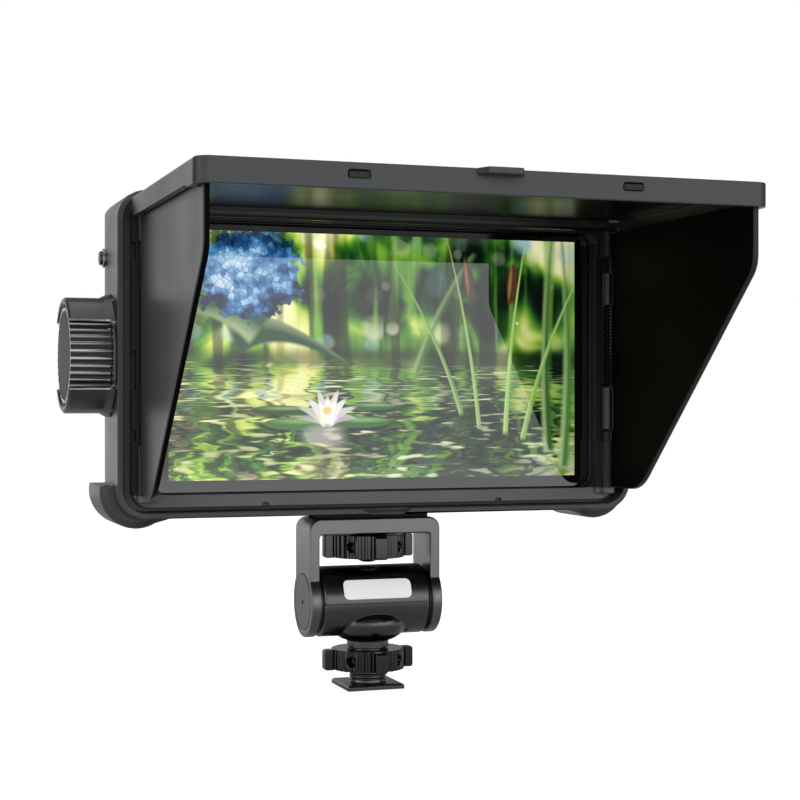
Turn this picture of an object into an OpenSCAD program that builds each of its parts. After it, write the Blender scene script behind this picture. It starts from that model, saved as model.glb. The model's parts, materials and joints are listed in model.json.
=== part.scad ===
// Camera field monitor with a folding sun hood, on a tilting cold-shoe mount.
// +X is the viewer's right, the screen faces -Y and +Z is up.
// The origin is the middle of the underside of the cold-shoe foot.

/* [Screen] */
// Width of the lit picture
picture_w = 132; // [120:1:144]
// Height of the lit picture
picture_h = 75; // [68:1:84]
// Glass beyond the picture at each side
glass_side = 5; // [4:0.5:8]
// Glass beyond the picture below it
glass_below = 3.7; // [3:0.1:6]
// Glass beyond the picture above it
glass_above = 2.9; // [2:0.1:5]
// Thickness of the cover glass
glass_t = 1.1; // [0.7:0.1:1.6]
// Corner radius of the cover glass
glass_r = 4; // [2:0.5:6]
// Thickness of the liquid crystal panel
panel_t = 2; // [1.2:0.1:2.4]
// Thickness of the backlight unit
backlight_t = 3; // [2:0.1:3.6]

/* [Case] */
// Depth of the case from its front rim to its back
case_d = 33.5; // [32:0.5:44]
// Front rim ahead of the mount screw
case_ahead = 19.3; // [16:0.1:22]
// Wall of the front rim
rim_t = 1.8; // [1.4:0.1:3]
// Thickness of the floor inside the front rim
rim_floor_t = 2; // [1.6:0.1:3]
// Outer corner radius of the front rim
rim_r = 8.5; // [6:0.5:12]
// Back cover standing out past the front rim above and below
cover_step = 0.5; // [0.3:0.1:1]
// Back cover set in behind the front rim at each side
cover_inset = 0.1; // [0:0.05:0.4]
// Wall of the back cover
cover_t = 2.2; // [1.8:0.1:3]
// Radius of the back edges
back_edge_r = 3.5; // [2:0.5:6]
// Radius of the corner feet
foot_pad_r = 11; // [9:0.5:13]
// Corner feet standing out below the cover
foot_pad_out = 3; // [2:0.1:4]
// Corner feet standing out beside the cover
foot_pad_side = 3.6; // [2:0.1:4.4]
// Width of the finger notch in the rim
notch_w = 16.4; // [12:0.2:24]

/* [Sun hood] */
// Hood frame beside the glass
frame_side = 6.8; // [6.4:0.1:9]
// Hood frame below the glass
frame_below = 3.9; // [3:0.1:6]
// Hood frame above the glass
frame_above = 4.3; // [3.8:0.1:6]
// Depth of the hood frame
frame_t = 4; // [3:0.1:6]
// Hood frame set back from the front rim
frame_inset = 2; // [1:0.1:3]
// Gap between the frame and the rim at each side
frame_gap_x = 2.7; // [1:0.1:4]
// Gap between the frame and the rim above and below
frame_gap_z = 1.3; // [0.8:0.1:3]
// Lid lip ahead of the front rim
hood_reach = 90.9; // [70:0.1:96]
// Lid standing out past the hood frame at each side
lid_side = 1; // [0.8:0.1:2]
// Thickness of the lid's panel, lip and skirts
lid_t = 1.8; // [1.4:0.1:2.4]
// Height of the lid's lip
lip_h = 6.7; // [6:0.1:10]
// Height of the lid's skirts
skirt_h = 5.9; // [5.3:0.1:6]
// Corner radius of the lid
lid_r = 4.1; // [2.5:0.1:6]
// Thickness of the side flaps
flap_t = 1.7; // [1.2:0.1:2]
// Gap between a side flap and the lid's skirt or lip
flap_gap = 0.6; // [0.4:0.1:1]
// Lower front corner of the flaps ahead of the front rim
flap_foot = 20.7; // [14:0.1:40]
// Height of the bend in the flaps' front edge above their foot
flap_bend = 63.6; // [40:0.2:70]
// Radius of the hinge rods
rod_r = 0.8; // [0.6:0.05:1]
// Wall of the hinge knuckles
knuckle_t = 0.85; // [0.7:0.05:1]
// Wire of the torsion springs
wire_d = 0.5; // [0.4:0.05:0.6]
// Curls of each torsion spring
spring_curls = 23; // [12:1:24]
// Width of the finger tab on the lid
tab_w = 13.2; // [8:0.2:20]

/* [Dial and button] */
// Outer radius of the dial guard
guard_r = 17.2; // [16.6:0.1:19]
// Wall of the dial guard
guard_t = 2.2; // [1.6:0.1:2.6]
// Dial guard standing out from the case
guard_out = 13.6; // [10:0.1:16]
// Height of the guard's finger window
guard_window = 19.4; // [14:0.2:22]
// Gap between the dial and its guard
dial_gap = 0.6; // [0.4:0.1:1]
// Number of ribs round the dial
dial_ribs = 40; // [30:1:60]
// Radius of the power button
button_r = 2.1; // [1.6:0.1:3]
// Travel of the power button
button_travel = 0.6; // [0.3:0.1:1]

/* [Mount] */
// Width and depth of the cold-shoe foot
shoe_w = 18.4; // [17.6:0.1:18.6]
// Thickness of the cold-shoe foot
shoe_t = 1.6; // [1.5:0.1:2.2]
// Radius of the thumb wheels over their lobes
wheel_r = 14.6; // [12:0.1:14.8]
// Depth of the thumb wheels' lobes
lobe_out = 3.1; // [1.5:0.1:3.4]
// Height of the lock wheel
wheel_h = 6.4; // [5:0.1:7]
// Height of the thumb wheel in the yoke
thumb_wheel_h = 7.2; // [6:0.1:7.4]
// Lock wheel above the ground
lock_wheel_z = 5.7; // [3:0.1:6]
// Underside of the tilt head's neck above the ground
neck_z = 14.8; // [14.6:0.1:20]
// Tilt axle above the underside of the neck
axle_rise = 12.5; // [12.2:0.1:16]
// Radius of the tilt head and of the yoke's ears
head_r = 11; // [9:0.1:12]
// Length of the tilt head
head_l = 34.8; // [32:0.2:40]
// Radius of the tilt axle
axle_r = 2.4; // [1.5:0.1:3]
// Thickness of the yoke's arms
arm_t = 3.2; // [2.4:0.1:5]
// Depth of the yoke's arms
arm_d = 16.8; // [12:0.2:20]
// Top of the yoke above the tilt axle
yoke_rise = 26.3; // [26:0.1:34]
// Thickness of the yoke's bridge
bridge_t = 5.1; // [3:0.1:5.2]
// Thickness of the rubber pad on the yoke
pad_t = 1.4; // [0.8:0.1:2.4]
// Radius of the mount screw's shank
screw_r = 3.15; // [2.3:0.05:4.7]

/* [Battery plate] */
// Width of the battery plate
plate_w = 46; // [42:0.5:56]
// Height of the battery plate
plate_h = 64; // [52:0.5:74]
// Thickness of the battery plate's base
plate_t = 2.5; // [2:0.1:4]
// Height of its rails above the base
rail_h = 4.5; // [4:0.1:6]
// Travel of the battery release
release_travel = 2; // [1:0.1:3]

/* [Hidden] */
$fn = 48;

// Clearances
run = 0.05;      // running fit, radial
seat = 0.02;     // fixed fit, radial
slip = 0.1;      // flat faces that slide
air = 0.3;       // parts that only pass each other
tiny = 0.01;

// Heights of the mount
axle_z = neck_z + axle_rise;
yoke_top = axle_z + yoke_rise;
bridge_z = yoke_top - bridge_t;
cover_z0 = yoke_top + pad_t;
thumb_hub_h = 0.3;
thumb_hub_r = 6;
thumb_wheel_z = bridge_z - slip - thumb_hub_h - thumb_wheel_h;

// Heights of the case and the screen
rim_z0 = cover_z0 + cover_step;
frame_z0 = rim_z0 + rim_t + frame_gap_z;
glass_z0 = frame_z0 + frame_below;
picture_z = glass_z0 + glass_below;
glass_w = picture_w + 2 * glass_side;
glass_h = picture_h + glass_below + glass_above;
frame_w = glass_w + 2 * frame_side;
frame_h = glass_h + frame_below + frame_above;
rim_w = frame_w + 2 * (frame_gap_x + rim_t);
rim_h = frame_h + 2 * (frame_gap_z + rim_t);
cover_w = rim_w - 2 * cover_inset;
cover_h = rim_h + 2 * cover_step;
rim_mid = rim_z0 + rim_h / 2;
glass_mid = glass_z0 + glass_h / 2;
frame_mid = frame_z0 + frame_h / 2;
picture_mid = picture_z + picture_h / 2;

// Depths, from the front rim backwards
rim_y = -case_ahead;
frame_y = rim_y + frame_inset;
floor_y = frame_y + frame_t;
cover_y = floor_y + rim_floor_t;
glass_y = cover_y - glass_t;
back_y = rim_y + case_d;
panel_y1 = cover_y + panel_t;
backlight_y1 = panel_y1 + backlight_t;
chassis_t = 1.2;
standoff_h = 2;
board_t = 1.6;
chip_h = 1.5;
board_y = backlight_y1 + chassis_t + standoff_h;
sink_y = board_y + board_t + chip_h;
sink_base_t = 2;
cavity_y1 = back_y - cover_t;

// Hood
lid_y0 = rim_y - hood_reach;
lid_w = frame_w + 2 * lid_side;
lid_inner_x = lid_w / 2 - lid_t;
flap_x = lid_inner_x - flap_gap;
axis_x = flap_x - flap_t - 0.1;
flap_front = lid_y0 + lid_t + flap_gap;
flap_foot_y = rim_y - flap_foot;
knuckle_r = rod_r + run + knuckle_t;
post_r = 2.3;
swing_r = post_r + air;
right_axis_y = frame_y - 1.5;
left_axis_y = right_axis_y - flap_t - 0.5;
flap_z0 = glass_z0 + 0.1;
ear_r = 1.9;
lid_axis_y = left_axis_y - 1.3;
flap_z1 = flap_z0 + glass_h - 0.6;
lid_axis_z = flap_z1 + ear_r + air;
lid_top = lid_axis_z + 3.1;
lid_under = lid_top - lid_t;
lid_rear = lid_axis_y + 1.7;
rod_end_x = axis_x + 1.2;
ear_x0 = axis_x - 2;
plug_x = 37.6;
plug_w = 5.4;
plug_h = 1.7;
plug_gap = 0.2;

// Heights along the flap hinges
hinge_mid = glass_mid;
spring_r = rod_r + air + wire_d / 2;
spring_pitch = 1.07;
spring_turns = spring_curls + 0.5;
spring_leg = 1.2;
spring_z0 = hinge_mid - 8.25;
spring_z1 = spring_z0 + spring_turns * spring_pitch;
upper_sleeve_z0 = spring_z1 + wire_d / 2 + air;
upper_sleeve_h = 10.3;
lower_sleeve_h = 13.5;
lower_sleeve_z0 = spring_z0 - wire_d / 2 - air - lower_sleeve_h;
frame_knuckle_h = 3;
post_z1 = lower_sleeve_z0 - 0.7 - frame_knuckle_h;
collar_z0 = upper_sleeve_z0 + upper_sleeve_h + 5.2;
collar_z1 = flap_z1 + air;

// Dial
case_x = cover_w / 2;
cavity_x = case_x - cover_t - 1;
dial_y = (rim_y + back_y) / 2;
dial_z = rim_mid;
dial_r = guard_r - guard_t - dial_gap;
guard_x = case_x + guard_out;
dial_x0 = case_x + 1;
dial_x1 = guard_x - 0.4;
dial_rib_r = 0.85;
shaft_r = 3;
encoder_r = 4.5;
button_y = 4;
button_z = dial_z + 29.7;

// Battery plate
plate_y = back_y;
plate_z = rim_mid;
rail_y = plate_y + plate_t + rail_h;
rail_w = 3;
rail_lip = 1.6;

// A rounded rectangle about the origin
module rounded(w, h, r) {
    square([w - 2 * r, h], center = true);
    square([w, h - 2 * r], center = true);
    for (x = [-1, 1], y = [-1, 1])
        translate([x * (w / 2 - r), y * (h / 2 - r)])
            circle(r);
}

// A rounded plate that faces -Y, from y0 to y1, with its middle at height z
module plate(w, h, r, y0, y1, z) {
    translate([0, y1, z])
        rotate([90, 0, 0])
            linear_extrude(y1 - y0)
                rounded(w, h, r);
}

// A box from one corner to the opposite one
module block(low, high) {
    translate(low)
        cube(high - low);
}

// A cylinder along X
module bar_x(r, x0, x1, y, z) {
    translate([x0, y, z])
        rotate([0, 90, 0])
            cylinder(r = r, h = x1 - x0);
}

// A cylinder along Z
module bar_z(r, z0, z1, x = 0, y = 0) {
    translate([x, y, z0])
        cylinder(r = r, h = z1 - z0);
}

// Mirrored copies on both sides
module both_sides() {
    children();
    mirror([1, 0, 0])
        children();
}

// ---- Mount ----

post_shoulder_z = lock_wheel_z + wheel_h + 0.4;
stud_r = 5.8;
shoulder_r = 6.6;
spigot_r = 4.5;
spigot_h = 3;
thread_pitch = 1.25;

module shoe_foot() {
    color("dimgray") {
        difference() {
            block([-shoe_w / 2, -shoe_w / 2, 0], [shoe_w / 2, shoe_w / 2, shoe_t]);
            // bevelled upper edges lead the foot into a shoe
            for (turn = [0:90:270])
                rotate([0, 0, turn])
                    translate([shoe_w / 2, 0, shoe_t])
                        rotate([0, 45, 0])
                            cube([0.7, shoe_w + 2, 0.7], center = true);
        }
        rotate_extrude()
            stud_profile();
    }
}

// Half section of the threaded stud under the tilt head
module stud_profile() {
    threads = floor((post_shoulder_z - shoe_t - 1) / thread_pitch);
    difference() {
        union() {
            translate([0, shoe_t - 0.2])
                square([stud_r, post_shoulder_z - shoe_t + 0.3]);
            translate([0, post_shoulder_z])
                square([shoulder_r, neck_z - post_shoulder_z]);
            translate([0, post_shoulder_z])
                square([spigot_r, neck_z - post_shoulder_z + spigot_h]);
        }
        for (i = [1:threads])
            translate([stud_r, shoe_t + i * thread_pitch])
                rotate(45)
                    square(0.45, center = true);
    }
}

// Outline of a thumb wheel: four lobes, with ribs between them
module wheel_outline() {
    ribs = 36;
    base_r = wheel_r - lobe_out;
    lobe_w = 3.7;
    difference() {
        union() {
            circle(base_r);
            intersection() {
                circle(wheel_r);
                union() {
                    square([3 * wheel_r, lobe_w], center = true);
                    square([lobe_w, 3 * wheel_r], center = true);
                }
            }
        }
        for (i = [0:ribs - 1])
            if (i % 9 != 0)
                rotate(i * 360 / ribs)
                    translate([base_r + 0.1, 0])
                        circle(0.6, $fn = 16);
    }
}

// A thumb wheel of height h from z0 up, with four spanner holes
module wheel_form(z0, h, bore_r) {
    hole_r = 1.6;
    edge = 0.5;
    difference() {
        intersection() {
            translate([0, 0, z0])
                linear_extrude(h)
                    wheel_outline();
            translate([0, 0, z0])
                rotate_extrude()
                    polygon([[0, 0], [wheel_r - edge, 0], [wheel_r, edge], [wheel_r, h - edge],
                             [wheel_r - edge, h], [0, h]]);
        }
        bar_z(bore_r, z0 - 1, z0 + h + 1);
        for (turn = [45:90:315])
            rotate([0, 0, turn])
                bar_x(hole_r, wheel_r - 7, wheel_r + 1, 0, z0 + h / 2);
    }
}

module shoe_lock_wheel() {
    color("#2c2c2c")
        wheel_form(lock_wheel_z, wheel_h, stud_r + run);
}

// The tilt head as a whole: a barrel on a bowl-shaped neck
module head_form() {
    edge = 0.8;
    difference() {
        union() {
            translate([-head_l / 2, 0, axle_z])
                rotate([0, 90, 0])
                    rotate_extrude()
                        polygon([[0, 0], [head_r - edge, 0], [head_r, edge], [head_r, head_l - edge],
                                 [head_r - edge, head_l], [0, head_l]]);
            translate([0, 0, neck_z])
                rotate_extrude()
                    polygon([[0, 0], [7, 0], [8.8, 0.7], [10.6, 1.9], [11.9, 3.4], [12.5, 5.1], [12.4, 6.8],
                             [11.5, 8.2], [10.2, 9.2], [0, 9.2]]);
        }
        bar_x(axle_r + seat, -head_l, head_l, 0, axle_z);
        bar_z(spigot_r + seat, neck_z - 1, neck_z + spigot_h);
    }
}

module tilt_head_body() {
    color("#3c3c3c")
        intersection() {
            head_form();
            block([-head_l, -2 * head_r, 0], [head_l, 2 * head_r, axle_z]);
        }
}

module tilt_head_cap() {
    color("#3c3c3c")
        intersection() {
            head_form();
            block([-head_l, -2 * head_r, axle_z], [head_l, 2 * head_r, axle_z + 2 * head_r]);
        }
}

// The bare plate on the front of the tilt head follows the barrel
module head_plate() {
    label_w = 22;
    label_h = 5.8;
    label_t = 0.3;
    color("whitesmoke")
        intersection() {
            difference() {
                bar_x(head_r + seat + label_t, -head_l / 2, head_l / 2, 0, axle_z);
                bar_x(head_r + seat, -head_l, head_l, 0, axle_z);
            }
            plate(label_w, label_h, 1.6, -2 * head_r, -head_r / 2, axle_z + 4.3);
        }
}

module tilt_axle() {
    color("silver")
        bar_x(axle_r, -head_l / 2 - arm_t - 0.4, head_l / 2 + arm_t + 0.4, 0, axle_z);
}

washer_t = 0.6;
arm_x0 = head_l / 2 + washer_t + slip;
arm_x1 = arm_x0 + arm_t;

module friction_washers() {
    color("silver")
        both_sides()
            difference() {
                bar_x(head_r - 2, head_l / 2, head_l / 2 + washer_t, 0, axle_z);
                bar_x(axle_r + seat, 0, head_l, 0, axle_z);
            }
}

module yoke() {
    corner_r = 3.6;
    window_r = 1;
    cap_recess = 0.5;
    color("#6c6c6c")
        difference() {
            union() {
                translate([0, arm_d / 2, 0])
                    rotate([90, 0, 0])
                        linear_extrude(arm_d)
                            difference() {
                                translate([0, axle_z + yoke_rise / 2])
                                    union() {
                                        rounded(2 * arm_x1, yoke_rise, corner_r);
                                        translate([0, -yoke_rise / 4])
                                            square([2 * arm_x1, yoke_rise / 2], center = true);
                                    }
                                translate([0, (bridge_z + axle_z - head_r) / 2])
                                    rounded(2 * arm_x0, bridge_z - axle_z + head_r, window_r);
                            }
                both_sides()
                    bar_x(head_r, arm_x0, arm_x1, 0, axle_z);
            }
            bar_x(axle_r + run, -2 * arm_x1, 2 * arm_x1, 0, axle_z);
            both_sides()
                bar_x(head_r - 2.2, arm_x1 - cap_recess, arm_x1 + 1, 0, axle_z);
            bar_z(screw_r + run, bridge_z - 1, yoke_top + 1);
        }
}

module ear_caps() {
    cap_t = 0.5;
    color("#303030")
        both_sides()
            difference() {
                bar_x(head_r - 2.3, arm_x1 - cap_t, arm_x1, 0, axle_z);
                bar_x(0.7, arm_x1 - 1, arm_x1 + 1, 0, axle_z);
                bar_x(axle_r + run, arm_x1 - 1, arm_x1 - 0.2, 0, axle_z);
            }
}

module yoke_pad() {
    pad_in = 3.6;
    color("#222222")
        difference() {
            translate([0, 0, yoke_top])
                linear_extrude(pad_t)
                    rounded(2 * (arm_x1 - pad_in), arm_d - 0.8, 1.5);
            bar_z(screw_r + 0.3, yoke_top - 1, cover_z0 + 1);
        }
}

insert_h = 8;
insert_r = 5;
screw_top = cover_z0 + insert_h - 1.7;

module mount_screw() {
    color("silver") {
        bar_z(screw_r, thumb_wheel_z - tiny, screw_top);
        // domed end below the thumb wheel
        translate([0, 0, thumb_wheel_z])
            rotate_extrude()
                polygon([[0, 0], [screw_r + 0.4, 0], [screw_r + 0.3, -0.6], [screw_r - 0.4, -1.2],
                         [screw_r - 1.5, -1.6], [0, -1.8]]);
    }
}

module thumb_wheel() {
    color("#2c2c2c") {
        wheel_form(thumb_wheel_z, thumb_wheel_h, screw_r + seat);
        difference() {
            bar_z(thumb_hub_r, thumb_wheel_z + thumb_wheel_h, thumb_wheel_z + thumb_wheel_h + thumb_hub_h);
            bar_z(screw_r + seat, thumb_wheel_z, bridge_z);
        }
    }
}

// ---- Case ----

module tripod_insert() {
    color("goldenrod")
        difference() {
            union() {
                bar_z(insert_r, cover_z0, cover_z0 + insert_h);
                bar_z(insert_r + 1.2, cover_z0 + insert_h - 1.5, cover_z0 + insert_h);
            }
            bar_z(screw_r + run, cover_z0 - 1, screw_top + 0.5);
        }
}

module front_rim() {
    notch_in = notch_w - 6;
    notch_d = 1.5;
    color("#555555")
        difference() {
            plate(rim_w, rim_h, rim_r, rim_y, cover_y, rim_mid);
            plate(rim_w - 2 * rim_t, rim_h - 2 * rim_t, rim_r - rim_t, rim_y - 1, floor_y, rim_mid);
            plate(glass_w + 2 * run, glass_h + 2 * run, glass_r + run, rim_y, cover_y + 1, glass_mid);
            // finger notch in the lower band, with a floor that slopes to the front
            intersection() {
                translate([0, rim_y + 3, rim_z0 + rim_t + 0.1])
                    rotate([90, 0, 0])
                        linear_extrude(5)
                            polygon([[-notch_w / 2, 0], [notch_w / 2, 0], [notch_in / 2, -1.6],
                                     [-notch_in / 2, -1.6]]);
                across_x(-notch_w, notch_w)
                    polygon([[rim_y - 1, rim_z0 + 0.3], [rim_y, rim_z0 + 0.3], [rim_y + notch_d, rim_z0 + 1.3],
                             [rim_y + notch_d, rim_z0 + 3], [rim_y - 1, rim_z0 + 3]]);
            }
        }
}

// Outer form of the back cover: three profiles crossed, with rounded back edges
module cover_form() {
    intersection() {
        plate(cover_w, cover_h, rim_r + cover_step, cover_y, back_y, rim_mid);
        translate([0, 0, rim_mid - cover_h])
            linear_extrude(2 * cover_h)
                back_profile(cover_w / 2, 1);
        translate([-cover_w, 0, rim_mid])
            rotate([90, 0, 90])
                linear_extrude(2 * cover_w)
                    rotate(-90)
                        back_profile(cover_h / 2, 0);
    }
}

// Section of the back cover: its width, narrowing towards the rounded back, against its depth
module back_profile(half, taper) {
    r = back_edge_r;
    straight = cover_y + 12;
    polygon([[-half, cover_y], [half, cover_y], [half, straight], [half - taper, back_y - r],
             [half - taper - r, back_y], [-half + taper + r, back_y], [-half + taper, back_y - r],
             [-half, straight]]);
    for (s = [-1, 1])
        translate([s * (half - taper - r), back_y - r])
            circle(r);
}

// One moulded foot at a lower corner, wrapping the side and the underside
module corner_foot() {
    foot_x = case_x + foot_pad_side - foot_pad_r;
    foot_z = cover_z0 - foot_pad_out + foot_pad_r;
    fade_x = foot_x - foot_pad_r;
    translate([0, back_y - 1, 0])
        rotate([90, 0, 0])
            linear_extrude(back_y - cover_y - 2)
                intersection() {
                    union() {
                        translate([foot_x, foot_z])
                            circle(foot_pad_r);
                        polygon([[foot_x, cover_z0 - foot_pad_out], [fade_x, cover_z0], [fade_x, cover_z0 + 1],
                                 [foot_x, foot_z]]);
                    }
                    translate([fade_x - 1, cover_z0 - foot_pad_out - 1])
                        square([case_x, foot_pad_r + 3]);
                }
}

module vent_slot(l) {
    linear_extrude(3 * cover_t)
        rounded(1.6, l, 0.7);
}

module back_cover() {
    cavity_r = rim_r + cover_step - cover_t;
    color("#4c4c4c")
        difference() {
            union() {
                cover_form();
                both_sides()
                    corner_foot();
            }
            difference() {
                plate(2 * cavity_x, cover_h - 2 * cover_t, cavity_r, cover_y - 1, cavity_y1, rim_mid);
                // boss round the tripod insert
                bar_z(insert_r + 2, cover_z0, cover_z0 + insert_h);
            }
            bar_z(insert_r + seat, cover_z0 - 5, cover_z0 + insert_h + 1);
            bar_z(insert_r + 1.2 + seat, cover_z0 + insert_h - 1.5, cover_z0 + insert_h + 1);
            // back vents beside the battery plate
            both_sides()
                for (i = [0:7])
                    translate([plate_w / 2 + 12 + i * 4, back_y + 1, rim_mid + 22])
                        rotate([90, 0, 0])
                            vent_slot(20);
            // dial shaft bushing and power button on the left side
            bar_x(encoder_r + seat, -case_x - 5, -case_x + 5, dial_y, dial_z);
            bar_x(button_r + run, -case_x - 5, -case_x + 10, button_y, button_z);
            // sockets on the right side
            for (p = ports)
                port_at(p, cover_t + 2, cover_t + 5)
                    port_outline(p, -seat);
        }
}

// Each socket: height above the middle of the case, width along Z, depth along Y, and its tongue's size
ports = [[24, 15, 5.5, 11.4, 1.4], [4, 15, 5.5, 11.4, 1.4], [-14, 9, 3.2, 6.6, 0.7], [-29, 9, 9, 2, 2]];
port_y = 1;
port_l = 8;

module port_outline(p, inset) {
    rounded(p[2] - 2 * inset, p[1] - 2 * inset, 0.4 * min(p[2], p[1]) - inset);
}

// Draws outwards from depth x0 below the right side
module port_at(p, x0, l) {
    translate([case_x - x0, port_y, rim_mid + p[0]])
        rotate([90, 0, 90])
            linear_extrude(l)
                children();
}

module port_shells() {
    shell_t = 0.5;
    color("silver")
        for (p = ports) {
            port_at(p, port_l, port_l - 0.6)
                difference() {
                    port_outline(p, 0);
                    port_outline(p, shell_t);
                }
            port_at(p, port_l, 1)
                port_outline(p, 0);
            // tongue or pin in the middle
            port_at(p, port_l, port_l - 1.6)
                rounded(p[4], p[3], 0.4 * p[4]);
        }
}

module cover_glass() {
    color("black")
        plate(glass_w, glass_h, glass_r, glass_y, cover_y, glass_mid);
}

module lcd_panel() {
    color("gray")
        plate(picture_w + 4, picture_h + 4, 1, cover_y, panel_y1, picture_mid);
}

module backlight_unit() {
    color("white")
        plate(picture_w + 4, picture_h + 4, 1, panel_y1, backlight_y1, picture_mid);
}

board_w = 118;
board_h = 66;

module mid_chassis() {
    chassis_h = cover_h - 2 * (cover_t + slip);
    post_x = board_w / 2 - 4;
    post_z = board_h / 2 - 4;
    color("silver") {
        difference() {
            plate(picture_w, chassis_h, 1, backlight_y1, backlight_y1 + chassis_t, rim_mid);
            // room for the boss of the tripod insert
            block([-insert_r - 3, backlight_y1 - 1, cover_z0], [insert_r + 3, 0, cover_z0 + insert_h + air]);
        }
        for (x = [-1, 1], z = [-1, 1])
            translate([x * post_x, backlight_y1 + chassis_t + standoff_h, rim_mid + z * post_z])
                rotate([90, 0, 0])
                    cylinder(r = 2.2, h = standoff_h + tiny);
    }
}

module main_board() {
    color("darkgreen") {
        plate(board_w, board_h, 2, board_y, board_y + board_t, rim_mid);
        // processor, memory and video chips
        for (c = [[0, 0, 17, 17], [24, 6, 11, 9], [24, -8, 11, 9], [-26, 4, 13, 13]])
            translate([c[0] - c[2] / 2, board_y + board_t - tiny, rim_mid + c[1] - c[3] / 2])
                cube([c[2], chip_h + tiny, c[3]]);
    }
}

module heat_sink() {
    sink_w = 70;
    sink_h = 44;
    fins = 12;
    fin_t = 1.4;
    fin_step = (sink_w - fin_t) / (fins - 1);
    color("silver") {
        plate(sink_w, sink_h, 1, sink_y, sink_y + sink_base_t, rim_mid);
        for (i = [0:fins - 1])
            translate([-sink_w / 2 + i * fin_step, sink_y + sink_base_t - tiny, rim_mid - sink_h / 2 + 1])
                cube([fin_t, cavity_y1 - 0.5 - sink_y - sink_base_t, sink_h - 2]);
    }
}

// ---- Dial and button ----

module dial_guard() {
    root_l = 3;
    root_out = 1.5;
    color("#505050")
        difference() {
            union() {
                bar_x(guard_r, -guard_x, -case_x, dial_y, dial_z);
                intersection() {
                    translate([-case_x, dial_y, dial_z])
                        rotate([0, -90, 0])
                            cylinder(r1 = guard_r + root_out, r2 = guard_r, h = root_l);
                    block([-guard_x, rim_y, dial_z - 2 * guard_r], [0, back_y, dial_z + 2 * guard_r]);
                }
            }
            bar_x(guard_r - guard_t, -guard_x - 1, -case_x + 1, dial_y, dial_z);
            // finger windows in front and behind
            block([-guard_x - 1, dial_y - 2 * guard_r, dial_z - guard_window / 2],
                  [-case_x - 1.2, dial_y + 2 * guard_r, dial_z + guard_window / 2]);
            // the front rim stands a little further out than the cover
            block([-rim_w / 2, rim_y - 1, dial_z - 2 * guard_r], [0, cover_y, dial_z + 2 * guard_r]);
        }
}

module dial_encoder() {
    color("gray")
        difference() {
            union() {
                bar_x(encoder_r, -case_x - 0.4, -cavity_x + tiny, dial_y, dial_z);
                block([-cavity_x, dial_y - 6.5, dial_z - 6.5], [-cavity_x + 6, dial_y + 6.5, dial_z + 6.5]);
            }
            bar_x(shaft_r + run, -case_x - 1, -cavity_x + 4, dial_y, dial_z);
        }
}

module dial_wheel() {
    rim_wall = 2;
    web_t = 2;
    color("silver")
        difference() {
            translate([-dial_x1, dial_y, dial_z])
                rotate([0, 90, 0])
                    linear_extrude(dial_x1 - dial_x0)
                        difference() {
                            circle(dial_r);
                            for (i = [0:dial_ribs - 1])
                                rotate(i * 360 / dial_ribs)
                                    translate([dial_r + 0.3, 0])
                                        circle(dial_rib_r, $fn = 13);
                        }
            // hollow towards the case, shallow seat for the cap outside
            difference() {
                bar_x(dial_r - rim_wall, -dial_x1 + web_t + 0.8, -dial_x0 + 1, dial_y, dial_z);
                bar_x(shaft_r + 2.2, -dial_x1, -dial_x0 - 0.5, dial_y, dial_z);
            }
            bar_x(dial_r - 1.2, -dial_x1 - 1, -dial_x1 + 0.8, dial_y, dial_z);
            bar_x(shaft_r + seat, -dial_x1 - 1, 0, dial_y, dial_z);
        }
}

module dial_shaft() {
    color("gray")
        bar_x(shaft_r, -dial_x1 + 0.9, -cavity_x + 3.8, dial_y, dial_z);
}

module dial_cap() {
    color("#4a4a4a")
        bar_x(dial_r - 1.3, -dial_x1 + 0.05, -dial_x1 + 0.8, dial_y, dial_z);
}

ring_out = 0.9;

module button_ring() {
    color("silver")
        difference() {
            bar_x(button_r + 0.75, -case_x - ring_out, -case_x, button_y, button_z);
            bar_x(button_r + run, -case_x - 2, -case_x + 1, button_y, button_z);
        }
}

module power_button() {
    color("#8a8a8a") {
        bar_x(button_r, -case_x - ring_out - button_travel - 0.3, -cavity_x + tiny, button_y, button_z);
        bar_x(button_r + 0.8, -cavity_x, -cavity_x + 1, button_y, button_z);
    }
}

// ---- Battery plate ----

release_w = 12;
release_h = 8;
release_z = plate_z + plate_h / 2 - 9;
contact_z = plate_z - plate_h / 2 + 9;

module battery_plate() {
    color("#3a3a3a")
        difference() {
            union() {
                plate(plate_w, plate_h, 3, plate_y, plate_y + plate_t, plate_z);
                both_sides() {
                    block([plate_w / 2 - rail_w, plate_y + plate_t - tiny, plate_z - plate_h / 2 + 3],
                          [plate_w / 2, rail_y, plate_z + plate_h / 2 - 3]);
                    // the rails' lips hold the battery
                    for (z = [-0.36, 0.02])
                        block([plate_w / 2 - rail_w - rail_lip, rail_y - 1.3, plate_z + z * plate_h],
                              [plate_w / 2 - rail_w + tiny, rail_y, plate_z + (z + 0.22) * plate_h]);
                }
            }
            // pocket for the release
            block([-release_w / 2 - slip, plate_y + 0.8, release_z - release_h / 2 - release_travel - slip],
                  [release_w / 2 + slip, plate_y + plate_t + 1, release_z + release_h / 2 + slip]);
            // slot for the contacts
            block([-9, plate_y + 0.8, contact_z - 2.5], [9, plate_y + plate_t + 1, contact_z + 2.5]);
        }
}

module battery_contacts() {
    color("gold")
        for (x = [-6, 0, 6])
            block([x - 1, plate_y + 0.8, contact_z - 1.6], [x + 1, plate_y + plate_t + 0.5, contact_z + 1.6]);
}

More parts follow.
